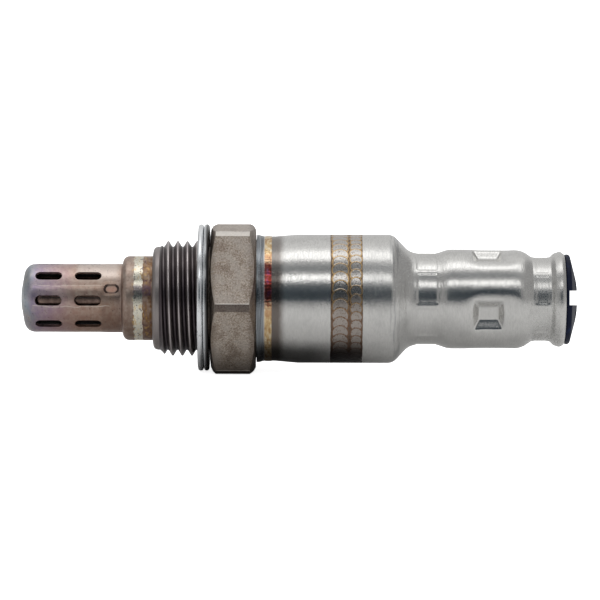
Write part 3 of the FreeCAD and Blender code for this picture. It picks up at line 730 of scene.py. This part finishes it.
# %% [markdown]
# ## The folded gasket
#
# The gasket is one strip of steel folded twice into a flat ring, so its outside shows two
# round lobes with a fine dark line between them. A solid ring with a painted line would
# look flat, so the fold itself is drawn in the profile and spun.

# %% Spin the gasket
GASKET_BORE = 9.3
GASKET_RADIUS = 11.47
GASKET_SHEET = 0.25
GASKET_LIFT = 0.15

rise = GASKET_BORE + GASKET_SHEET
under = GASKET_RADIUS - GASKET_SHEET
gasket_line = rounded([
    (0, GASKET_BORE),
    (0, GASKET_RADIUS, 0.4),
    (0.85, GASKET_RADIUS, 0.4),
    (0.85, rise),
    (0.93, rise),
    (0.93, GASKET_RADIUS, 0.38),
    (1.73, GASKET_RADIUS, 0.38),
    (1.73, GASKET_BORE),
    (1.48, GASKET_BORE),
    (1.48, under, 0.12),
    (1.18, under, 0.12),
    (1.18, GASKET_BORE),
    (0.6, GASKET_BORE),
    (0.6, under, 0.15),
    (0.25, under, 0.15),
    (0.25, GASKET_BORE),
    (0, GASKET_BORE),
], 0.09)
gasket = turned("folded_gasket", gasket_line, 192)

# The ring is loose on the shell, so it lies a little off the axis.
bpy.ops.object.mode_set(mode="EDIT")
bpy.ops.mesh.select_all(action="SELECT")
bpy.ops.transform.translate(value=(0, 0, GASKET_LIFT * MM))
bpy.ops.object.mode_set(mode="OBJECT")
smooth(gasket, 50)

# %% [markdown]
# ## The sleeve
#
# The sleeve is a drawn steel tube, laser-welded behind the hexagon and stepped down twice.
# Eight jaws crimp each of its two necks and leave flat seats with fine ridges between, and
# four dents in the swell between the necks hold the ceramic bush. The tube is spun with
# rows of points close enough for all of this, closest where the dents go. Then the seats
# are scaled towards the axis, and their edges are softened.

# %% Turn the sleeve
MOUTH = 9.15
SLEEVE_END = 57.15
SLEEVE_WALL = 0.5
SLEEVE_AROUND = 288
SLEEVE_RADIUS = 10.06
WAIST_RADIUS = 9.76
WELD_RADIUS = 9.82
NECK_RADIUS = 7.2
SWELL_RADIUS = 7.78
REAR_NECK_RADIUS = 6.6

sleeve_line = rounded([
    (MOUTH, 9.98),
    (9.45, 9.98, 0.15),
    (10.35, WAIST_RADIUS),
    (10.55, WELD_RADIUS, 0.6),
    (11.35, WELD_RADIUS, 0.6),
    (11.55, WAIST_RADIUS),
    (12.05, WAIST_RADIUS, 1.6),
    (15.55, SLEEVE_RADIUS, 1.6),
    (30.45, SLEEVE_RADIUS, 1.9),
    (33.15, NECK_RADIUS, 2.8),
    (37.35, NECK_RADIUS, 1.6),
    (39.05, SWELL_RADIUS, 3.9),
    (50.45, SWELL_RADIUS, 3.9),
    (52.12, REAR_NECK_RADIUS, 0.35),
    (54.95, REAR_NECK_RADIUS, 0.35),
    (55.55, 7.2, 0.7),
    (56.6, 7.55, 0.7),
    (SLEEVE_END, 7.1),
], 0.2)
for step, start, end in ((0.6, 15, 31), (0.22, 33, 56), (0.12, 42.5, 47.7)):
    sleeve_line = divided(sleeve_line, step, start, end)
print("rows along the sleeve:", len(sleeve_line))
wall_line = inner_line(sleeve_line, SLEEVE_WALL, 3)
sleeve = turned("drawn_sleeve", sleeve_line + wall_line + sleeve_line[:1], SLEEVE_AROUND)

# %% Crimp the necks
JAW_DEPTH = 0.12
JAW_TURN = 25.1
JAW_HALF = 19.3
JAW_PLACES = ((34.15, 37.1, NECK_RADIUS), (52.55, 54.5, REAR_NECK_RADIUS))

for start, end, radius in JAW_PLACES:
    seats = pick(sleeve, lambda x, _, turn: (x > start) & (x < end)
                 & (np.abs((turn - JAW_TURN + 22.5) % 45 - 22.5) < JAW_HALF))
    bpy.ops.transform.resize(value=(1, 1 - JAW_DEPTH / radius, 1 - JAW_DEPTH / radius),
                             center_override=(0, 0, 0))
    bpy.ops.mesh.select_more()
    bpy.ops.mesh.vertices_smooth(factor=0.5, repeat=1)
    bpy.ops.object.mode_set(mode="OBJECT")
    print("points in the seats:", seats)

# %% [markdown]
# ## The dents
#
# Each dent is a wide soft hollow with a flat-floored pit in it, as a wedge-shaped punch
# leaves it. Moving single rows of points would make a ragged pit. So the punch is built as
# a block with sloping sides, and the Shrinkwrap modifier carries the sheet's points
# straight down to it. The sheet's inner face has a block of its own, one wall deeper, so
# the sheet keeps its wall. The sleeve is turned under the two blocks from dent to dent.

# %% Mark the sheet's two faces where the dents go
DENT_PLACE = 45.15
DENT_TURN = 13.6
DENT_LEVEL = 6.28
DENT_ZONE = 4


def marked(piece, name, chosen):
    """Puts a patch in a vertex group of this name."""
    pick(piece, chosen)
    bpy.ops.object.vertex_group_assign_new()
    bpy.ops.object.mode_set(mode="OBJECT")
    piece.vertex_groups[-1].name = name


sheet_middle = SWELL_RADIUS - SLEEVE_WALL / 2
marked(sleeve, "outside", lambda x, radius, _: (abs(x - DENT_PLACE) < DENT_ZONE) & (radius > sheet_middle))
marked(sleeve, "inside", lambda x, radius, _: (abs(x - DENT_PLACE) < DENT_ZONE) & (radius < sheet_middle))


# %% Make the punch and stamp with it
def dent_tool(level, height=2.5, length=2.94, width=2.1, end_slope=42, side_slope=57):
    """A block at the sleeve's top that widens upwards, more at its sides than its ends."""
    middle = Vector((DENT_PLACE, 0, level + height / 2))
    tool = block(middle, (length, width, height))
    spread = [1 + 2 * height * math.tan(math.radians(slope)) / size
              for slope, size in ((end_slope, length), (side_slope, width))]
    pick(tool, lambda _, radius, turn: radius > level + height / 2)
    bpy.ops.transform.resize(value=(*spread, 1), center_override=middle * MM)
    bpy.ops.object.mode_set(mode="OBJECT")
    return tool


def stamp(piece, tool, group):
    """Carries the points of a group that are inside the tool straight down to its surface."""
    take(piece)
    modifier = piece.modifiers.new("stamp", "SHRINKWRAP")
    modifier.wrap_method = "PROJECT"
    modifier.use_project_z = True
    modifier.use_positive_direction = False
    modifier.use_negative_direction = True
    modifier.target = tool
    modifier.vertex_group = group
    bpy.ops.object.modifier_apply(modifier=modifier.name)


# %% Press the dents
HOLLOW_PLACE = DENT_PLACE + 1.0
HOLLOW_DEPTH = 0.4
HOLLOW_REACH = 3.4

face_tool = dent_tool(DENT_LEVEL)
back_tool = dent_tool(DENT_LEVEL - SLEEVE_WALL)
turn_mesh(sleeve, -DENT_TURN)
for _ in range(4):
    press(sleeve, patch(HOLLOW_PLACE, 1.9, 0, 8), 0, HOLLOW_DEPTH, HOLLOW_REACH)
    stamp(sleeve, face_tool, "outside")
    stamp(sleeve, back_tool, "inside")
    softened = pick(sleeve, patch(DENT_PLACE, 3.2, 0, 28))
    bpy.ops.mesh.vertices_smooth(factor=0.5, repeat=5)
    bpy.ops.object.mode_set(mode="OBJECT")
    turn_mesh(sleeve, 90)
turn_mesh(sleeve, DENT_TURN)
sleeve.vertex_groups.clear()
for tool in (face_tool, back_tool):
    bpy.data.objects.remove(tool)
print("points softened round each dent:", softened)
smooth(sleeve, 30)

# %% [markdown]
# ## The rubber gland
#
# A rubber plug closes the sleeve. It is crowned, has a slot straight across its face, and
# four holes for the leads. It is spun as a solid, and the slot and holes are cut. The
# Bevel modifier then breaks their edges, as a mould does.

# %% Turn and cut the gland
GLAND_TURN = -7
GLAND_END = 59.24
GLAND_SLOT_SIZE = (4, 20, 2.25)
GLAND_SLOT_PLACE = (GLAND_END + 0.4, 0, 0.22)
LEAD_OFFSET = 2.4
LEAD_RADIUS = 1.15
RIM_WIDTH = 0.06

gland_line = divided(rounded([
    (48.3, 0),
    (48.3, 7.23, 0.3),
    (50.28, 7.23, 3.9),
    (51.95, 6.05, 0.35),
    (54.95, 6.05),
    (56.6, 6.6),
    (SLEEVE_END, 6.6),
    (SLEEVE_END, 7.05, 0.4),
    (58.0, 7.05, 0.4),
    (GLAND_END, 2.4, 12),
    (GLAND_END, 0),
], 0.1), 0.5)
gland = turned("lead_gland_rubber", gland_line, 128)

slot_tool = block(GLAND_SLOT_PLACE, GLAND_SLOT_SIZE)
turn_mesh(slot_tool, GLAND_TURN)
cut(gland, slot_tool)
for side_y, side_z in ((-1, -1), (-1, 1), (1, -1), (1, 1)):
    lead_place = Vector((54, side_y * LEAD_OFFSET, side_z * LEAD_OFFSET)) * MM
    bpy.ops.mesh.primitive_cylinder_add(vertices=40, radius=LEAD_RADIUS * MM, depth=20 * MM,
                                        location=lead_place, rotation=(0, math.pi / 2, 0))
    drill = bpy.context.object
    bpy.ops.object.transform_apply()
    turn_mesh(drill, GLAND_TURN)
    cut(gland, drill)
rim = gland.modifiers.new("rim", "BEVEL")
rim.width = RIM_WIDTH * MM
rim.segments = 2
rim.angle_limit = math.radians(50)
bpy.ops.object.modifier_apply(modifier=rim.name)
smooth(gland, 35)
print("gland faces:", len(gland.data.polygons))

# %% [markdown]
# ## Finishes on the shield and the inner cup
#
# Hot exhaust has tinted the tip in bands: blue-grey on the dome, then purple, then a
# coppery brown up to the step. The skirt is brown too, with one bright ring where a tool
# has polished it and a burnt edge beside the weld. The tint is a thin oxide film on the
# steel, so the material stays a metal and only its colour changes. A ramp along the axis
# gives the bands, with noise to keep their borders uneven. Each mark is then a coat over
# the last one: a signal that says where it lies, and its colour. Some coats are painted
# light: the upper side is painted lighter, with a painted highlight on top before the
# step and two thin painted highlight lines, the underside is painted darker, and each
# stake has an outline of painted shade. The inner cup is brown steel under the slots and
# black between them with painted shade.

# %% Heat tint and marks on the shield
def shield_finish():
    finish = Finish("shield_steel", metallic=1.0)
    x, _, turn = finish.place()
    drift = finish.grain((3.0, 4.0, 4.0), detail=3) - 0.5
    blotch = finish.grain((0.7, 0.9, 0.9), detail=4, roughness=0.6)
    along = (x + drift * 3.0 - SHIELD_TIP) / (NOSE - SHIELD_TIP)
    around = turn + drift * 12
    tint = finish.ramp(along, [
        (0.00, shade(150, 158, 162)), (0.07, shade(140, 146, 156)), (0.13, shade(146, 132, 152)),
        (0.26, shade(158, 132, 140)), (0.42, shade(160, 132, 120)), (0.70, shade(152, 126, 110)),
        (0.78, shade(140, 120, 110)), (0.87, shade(136, 118, 106)), (0.97, shade(118, 92, 76)),
        (1.00, shade(90, 66, 52))])
    tint = finish.blend(blotch.rise(0.35, 0.75) * 0.35, tint, shade(205, 190, 176))
    # Painted light: the upper side of the tip is screened lighter, where the overhead light falls on it.
    painted_upper_light = 1 - abs(around).rise(86, 104)
    tint = finish.blend(painted_upper_light * 0.6, tint, tint, "SCREEN")

    # Painted highlight: a lighter patch on the top of the tip just before the step.
    painted_top_highlight = (1 - abs(around).rise(38, 62)) * x.band(-18, -13.2, 1.5)
    # Darker just before the step, away from the top.
    darker_before_step = x.band(-14.6, -12.2, 0.8) * turn.rise(50, 70)
    edge = (blotch - 0.5) * 0.9
    polished = (x + edge).band(-9.85, -8.65, 0.12)
    burnt = (x + edge).band(-8.5, -7.2, 0.15) * finish.grain((0.5, 2.2, 2.2), detail=3).rise(0.42, 0.6)
    spots = finish.grain((0.5, 0.6, 0.6)).rise(0.6, 0.68) * x.band(-9.8, -7.3, 0.2)
    gilt_and_painted_light = finish.grain((0.5, 0.9, 0.9)).rise(0.55, 0.65) * x.band(-10.0, -7.6, 0.3)
    violet = (1 - abs(turn - 70 + drift * 20).rise(5, 10)) * x.band(-9.9, -7.3, 0.2)
    soot_and_shade = finish.grain((0.22, 0.3, 0.3)).rise(0.62, 0.7)
    tint = finish.coats(tint,
                        (painted_top_highlight * 0.5, shade(236, 228, 222)),
                        (darker_before_step * 0.35, shade(96, 78, 72)),
                        # Painted shade: the underside darker and browner.
                        (abs(turn).rise(95, 125) * 0.3, shade(110, 80, 66)),
                        (polished * 0.9, shade(226, 222, 206)),
                        (burnt * 0.6, shade(128, 96, 56)),
                        (spots * 0.7, shade(72, 50, 66)),
                        (gilt_and_painted_light * 0.4, shade(214, 176, 104)),
                        (violet * blotch.rise(0.35, 0.5) * 0.6, shade(88, 66, 96)),
                        (soot_and_shade * 0.45, shade(70, 58, 52)))
    # Painted highlights: two thin bright lines at fixed turns, near the ridges between the flattened slot
    # lines.
    for highlight_turn, start, end in ((97.5, -25.6, -14), (62.3, -25.0, -14.4)):
        highlight_line = (1 - abs(around - highlight_turn).rise(0.3, 0.9)) * x.band(start, end, 0.5)
        tint = finish.blend(highlight_line * blotch.rise(0.35, 0.5) * 0.5, tint, shade(236, 226, 214))

    # A stake is a coppery pad in a dark outline of painted shade, strongest at its two ends, so it is a
    # distance from a short line.
    stake_aside = (turn - STAKE_TURNS[0]).wrapped(60) * math.radians(SHIELD_RADIUS)
    stake_along = (abs(x - STAKE_PLACE) - 0.375).upper(0)
    stake = (stake_along * stake_along + stake_aside * stake_aside) ** 0.5 + (blotch - 0.5) * 0.35
    ends = abs(x - STAKE_PLACE).rise(0.35, 0.8)
    tint = finish.coats(tint,
                        (stake.band(0.55, 0.76, 0.1) * (0.4 + ends * 0.5), shade(40, 30, 30)),
                        ((1 - stake.rise(0.3, 0.55)) * 0.5, shade(196, 150, 132)))
    pits = finish.grain((0.16, 0.16, 0.16), detail=3)
    finish.paint(base_color=tint, roughness=0.38 + (blotch - 0.5) * 0.18 - polished * 0.12,
                 normal=finish.relief((pits, 0.012), (finish.grain((1.6, 1.2, 1.2)), 0.05)))
    return finish.material


# %% Painted shade on the inner cup
def inner_finish():
    finish = Finish("inner_steel", metallic=1.0)
    _, _, turn = finish.place()
    blotch = finish.grain((0.9, 1.2, 1.2), detail=4, roughness=0.6)
    # Painted shade: the cup turns black between the slots, where it lies in shade.
    soot_and_shade = abs((turn - SLOT_TURNS[0]).wrapped(22.5)).rise(9, 13)
    tint = finish.coats(shade(108, 90, 82),
                        (blotch.rise(0.3, 0.7), shade(150, 128, 117)),
                        (soot_and_shade * 0.98, shade(8, 7, 8)))
    finish.paint(base_color=tint, roughness=0.17 + blotch * 0.1 + soot_and_shade * 0.6,
                 normal=finish.relief((blotch, 0.02)))
    return finish.material


# %% [markdown]
# ## Finishes on the shell, the gasket and the gland
#
# The hexagon was blasted and then baked by the exhaust, so it is dull and grainy. Painted
# shade makes it darker towards its ends and its underside, a painted highlight runs along
# its upper edges, and the turned bands at its corners are painted light on the upper
# corners and dark on the others. The thread has painted shade in its valleys and bright
# crests: the distance from the axis says how deep a point lies. The gasket is bright steel,
# and its rear fold is dark with painted shade. The gland is rubber with the satin skin of
# its mould.

# %% Grainy steel with soot in the valleys
def shell_finish():
    finish = Finish("shell_steel", metallic=1.0)
    x, radius, turn = finish.place()
    sand = finish.grain((0.22, 0.22, 0.22), detail=4, roughness=0.65)
    cloud = finish.grain((2.2, 2.2, 2.2), detail=3)
    speck = finish.grain((0.13, 0.13, 0.13), detail=1)
    nose = 1 - x.rise(-0.3, 0.3)
    # Painted highlight: a thin bright line on the flat beside each corner, on one side of it only.
    upper_edge = 1 - (turn - 30).wrapped(30).rise(-1, 1)
    painted_edge_highlight = radius.band(HEX_CORNER - 0.07, HEX_CORNER - 0.03, 0.02) * upper_edge * cloud.rise(0.3, 0.6)
    corner = radius.rise(HEX_CORNER - 0.025, HEX_CORNER - 0.005) * x.band(2.6, 8.4, 0.3)
    # Painted light and shade: the turned band at each corner is light on the upper corners and dark on the
    # others.
    corner_light_and_shade = finish.blend(abs(turn).rise(45, 60), shade(222, 218, 212), shade(92, 82, 78))
    # Painted shade in the thread's valleys, lighter on the upper side.
    soot_and_shade = (1 - radius.rise(8.4, 8.9)) * x.band(-5.9, 0.6, 0.05)
    crest = radius.rise(8.93, 8.99) * x.band(-5.4, 0, 0.1)
    colour = finish.ramp(sand, [(0.3, shade(106, 94, 84)), (0.5, shade(168, 155, 142)),
                                (0.7, shade(214, 202, 190))])
    colour = finish.coats(colour,
                          (cloud.rise(0.4, 0.7) * 0.5, shade(186, 178, 171)),
                          ((1 - cloud.rise(0.3, 0.48)) * 0.5, shade(118, 104, 94)),
                          (speck.rise(0.66, 0.72) * 0.7, shade(228, 220, 212)),
                          # Painted shade: darker towards the hexagon's ends and its underside.
                          ((1 - x.band(3.2, 7.6, 1.0)) * 0.45, shade(100, 88, 80)),
                          (abs(turn).rise(118, 150) * 0.5, shade(80, 70, 62)),
                          (painted_edge_highlight * 0.8, shade(236, 230, 224)),
                          (corner * 0.7, corner_light_and_shade),
                          (nose, shade(150, 143, 141)),
                          (soot_and_shade * (0.62 + turn.rise(40, 75) * 0.28), shade(70, 63, 68)),
                          (crest * 0.6, shade(206, 198, 198)))
    finish.paint(base_color=colour, roughness=0.40 - nose * 0.08 + (cloud - 0.5) * 0.1,
                 normal=finish.relief((sand, 0.035), (speck, 0.02)))
    return finish.material


# %% Bright folded steel and satin rubber
def gasket_finish():
    finish = Finish("gasket_steel", metallic=1.0)
    x, _, _ = finish.place()
    streak = finish.grain((0.12, 1.5, 1.5), detail=3)
    stain = finish.grain((0.9, 1.4, 1.4), detail=3).rise(0.58, 0.7) * 0.4
    colour = finish.coats(shade(240, 242, 244),
                          (streak.rise(0.35, 0.75) * 0.3, shade(212, 212, 214)),
                          (stain, shade(170, 166, 162)),
                          # Painted shade and painted dark reflection: the rear fold is dark beside the
                          # hexagon.
                          (x.rise(0.95, 1.5) * 0.94, shade(28, 25, 24)))
    finish.paint(base_color=colour, roughness=0.24 + stain * 0.25, normal=finish.relief((streak, 0.012)))
    return finish.material


def rubber_finish():
    finish = Finish("gland_rubber")
    finish.shader.inputs["Specular IOR Level"].default_value = 0.13
    finish.place()
    skin = finish.grain((0.25, 0.25, 0.25), detail=3)
    dust = finish.grain((1.2, 1.2, 1.2), detail=4).rise(0.5, 0.75)
    colour = finish.blend(dust * 0.5, shade(9, 17, 38), shade(32, 45, 78))
    finish.paint(base_color=colour, roughness=0.42 + dust * 0.15, normal=finish.relief((skin, 0.02)))
    return finish.material


# %% [markdown]
# ## The finish on the sleeve
#
# The sleeve is stainless steel with a fine brushed grain round it, which draws each
# reflection out a little and makes its borders ragged. The weld has left a stripe of
# oxide: gold where the film is thin, crimson and violet where it is thick, with a brown
# haze behind it. Further back a laser has burnt two rows of overlapping rings into the
# steel. They could be cut as geometry, but they are only a film, so each ring is a
# distance: a point is on a ring when it lies one radius away from that ring's centre.

# %% Rings as distances
# Each row has its place, its number of rings, their radius and the width of their line.
RING_ROWS = ((22.12, 44, 1.25, 0.16), (24.55, 47, 0.92, 0.15))


def ring_row(x, turn, place, count, radius, line):
    """Overlapping rings round the sleeve: 1 on a ring's line, and 1 inside any ring."""
    pitch = math.tau * SLEEVE_RADIUS / count
    around = ((turn / 360 * count + 0.5).fraction() - 0.5) * pitch
    drawn, inside = None, None
    for step in (1, 0, -1):
        aside = around + step * pitch
        far = (aside * aside + (x - place) * (x - place)) ** 0.5
        on_line = 1 - abs(far - radius).rise(line * 0.35, line)
        within = 1 - far.rise(radius - line, radius)
        drawn = on_line if drawn is None else (drawn * (1 - within)).upper(on_line)
        inside = within if inside is None else inside.upper(within)
    return drawn, inside


# %% Steel, weld and rings on the sleeve
WELD_TURN = 68
RIPPLES_AROUND = 110


def weld_colours(finish, turn, flow):
    """Crimson on the stretch where the weld ran hottest, and gold away from it."""
    gold = finish.ramp(flow, [(0.3, shade(168, 128, 84)), (0.5, shade(214, 184, 136)),
                              (0.7, shade(236, 222, 194))])
    crimson = finish.ramp(flow, [(0.3, shade(104, 40, 36)), (0.5, shade(148, 58, 46)),
                                 (0.66, shade(138, 74, 116))])
    off_middle = abs(turn - WELD_TURN) + (flow - 0.5) * 26
    return finish.coats(gold,
                        (0.7 - off_middle.rise(18, 34) * 0.7, shade(206, 156, 122)),
                        (1 - off_middle.rise(13, 24), crimson))


def sleeve_finish():
    finish = Finish("sleeve_steel", metallic=1.0)
    x, _, turn = finish.place()
    grain = finish.grain((0.2, 0.8, 0.8), detail=3, roughness=0.6)
    fine = finish.grain((0.16, 0.3, 0.3))
    ridges = finish.grain((0.5, 2.4, 2.4))
    cloud = finish.grain((3.0, 3.0, 3.0), detail=3)
    speck = finish.grain((0.12, 0.12, 0.12), detail=1)
    ragged = (finish.grain((0.8, 1.5, 1.5), detail=3) - 0.5) * 0.5
    colour = finish.coats(shade(214, 213, 210),
                          (grain.rise(0.3, 0.7) * 0.5, shade(190, 189, 187)),
                          (cloud.rise(0.45, 0.75) * 0.3, shade(180, 179, 177)))

    mouth = 1 - (x + ragged * 0.3).rise(10.2, 10.4)
    lines = finish.grain((0.14, 5.0, 5.0)).rise(0.4, 0.6)
    mouth_steel = finish.blend(lines, shade(70, 78, 86), shade(132, 138, 144))
    haze = (x + ragged).band(11.4, 12.4, 1.4)
    # Painted shade: at one turn the mouth and the haze are darkened, in place of the bright band the steel
    # would reflect there.
    painted_dark_band = (mouth * 0.45 + haze * 0.6) * (1 - abs(turn - 65).rise(4, 8))
    weld = (x + ragged * 0.3).band(10.5, 11.4, 0.2)
    flow = finish.grain((0.5, 1.0, 1.0), detail=3)
    colour = finish.coats(colour,
                          (mouth * 0.85, mouth_steel),
                          (haze * (0.72 + turn.rise(50, 70) * 0.16), shade(98, 87, 80)),
                          (painted_dark_band, shade(44, 41, 40)),
                          (weld * 0.92, weld_colours(finish, turn, flow)))

    (big_line, big_inside), (small_line, small_inside) = [
        ring_row(x + ragged * 0.75, turn, *row) for row in RING_ROWS]
    inside = big_inside.upper(small_inside)
    burnt = (x + ragged * 0.3).band(20.7, 25.5, 0.15)
    rings = big_line.upper(small_line) * burnt
    # Painted highlight: on the upper side the ring insides keep less film, so they read bright.
    shine = inside * (1 - abs(turn - 40).rise(30, 50))
    spatter = finish.grain((0.2, 0.25, 0.25))
    # Painted light: the ring lines are light tan on the upper side and darker brown below.
    gilt_and_painted_light = finish.blend(abs(turn).rise(74, 104), shade(200, 168, 120), shade(132, 104, 84))
    drawn = finish.grain((0.3, 6.0, 6.0), detail=3).rise(0.45, 0.65) * x.band(30.1, 31.2, 0.5)
    colour = finish.coats(colour,
                          (burnt * (0.4 - shine * 0.34), shade(134, 106, 84)),
                          (burnt * (1 - inside * 0.75) * 0.85, shade(92, 70, 52)),
                          (rings * (0.25 + spatter), gilt_and_painted_light),
                          (burnt * spatter.rise(0.57, 0.64) * 0.55, shade(92, 66, 46)),
                          # Painted shade and painted dark reflection: the bottom of the ringed band is
                          # nearly black.
                          (burnt * abs(turn).rise(112, 142) * 0.96, shade(24, 12, 8)),
                          (drawn * 0.45, shade(120, 122, 126)))

    ripple = (turn * math.radians(RIPPLES_AROUND) + flow * 9).sine() * weld
    rough = 0.12 + grain * 0.10 + x.rise(21, 28) * 0.08 - x.rise(32, 36) * 0.05 + x.rise(47, 53) * 0.07
    rough = rough + burnt * (0.12 - shine * 0.14) + mouth * 0.08 + speck.rise(0.7, 0.76) * 0.1
    finish.paint(base_color=colour, roughness=rough,
                 normal=finish.relief((grain, 0.018), (fine, 0.012), (ridges, 0.02), (cloud, 0.03),
                                      (ripple, 0.004), (rings, 0.014)))
    return finish.material


# %% [markdown]
# ## Finishes inside
#
# The insides can be seen only through the slots, or when someone opens the model. They are
# fired ceramics, pressed talc and small pieces of sheet metal. One function makes them all:
# two colours with a mottle of the real grain size between, a roughness and a fine relief.

# %% One recipe for the hidden pieces
def plain_finish(name, dark, light, metallic, roughness, size, depth):
    finish = Finish(name, metallic=metallic)
    finish.place()
    mottle = finish.grain((size, size, size), detail=4, roughness=0.6)
    colour = finish.blend(mottle.rise(0.3, 0.7), shade(*dark), shade(*light))
    finish.paint(base_color=colour, roughness=roughness + (mottle - 0.5) * 0.2,
                 normal=finish.relief((mottle, depth)))
    return finish.material


# Each has a dark and a light colour, whether it is a metal, its roughness, and the size
# and depth of its grain in mm.
INSIDE = {
    "zirconia": ((206, 204, 196), (228, 226, 218), 0.0, 0.45, 0.3, 0.006),
    "steatite": ((214, 206, 186), (234, 228, 212), 0.0, 0.55, 0.6, 0.01),
    "talc": ((186, 190, 182), (216, 218, 210), 0.0, 0.85, 0.25, 0.04),
    "alumina": ((226, 226, 220), (244, 244, 240), 0.0, 0.5, 0.5, 0.008),
    "washer_steel": ((150, 150, 150), (186, 186, 186), 1.0, 0.35, 0.4, 0.01),
    "spring_steel": ((140, 136, 130), (176, 172, 166), 1.0, 0.28, 0.3, 0.008),
    "contact_alloy": ((170, 164, 146), (206, 200, 180), 1.0, 0.3, 0.3, 0.008),
}

# %% [markdown]
# ## Dressing the sensor
#
# Each new piece takes the place of its solid node and rides on the sensor's one body. The
# nodes inside keep their own meshes, and their material slot in the record says which
# finish each of them gets.

# %% Give every piece its finish
DRESSED = [(shield, shield_finish(), "outer_shield", "shield_steel"),
           (inner_cup, inner_finish(), "inner_shield", "inner_steel"),
           (shell, shell_finish(), "hex_shell", "shell_steel"),
           (gasket, gasket_finish(), "gasket", "gasket_steel"),
           (sleeve, sleeve_finish(), "outer_sleeve", "sleeve_steel"),
           (gland, rubber_finish(), "lead_gland", "gland_rubber")]
for piece, material, node, slot in DRESSED:
    piece.data.materials.clear()
    piece.data.materials.append(material)
    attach(piece, "root")
    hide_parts(node)

inside = {name: plain_finish(name, *recipe) for name, recipe in INSIDE.items()}
for part in frame["record"]["subparts"]:
    if part["material_slot"] in inside:
        solid = frame["nodes"][part["node"]]
        solid.data.materials.clear()
        solid.data.materials.append(inside[part["material_slot"]])
print("materials:", len(bpy.data.materials))
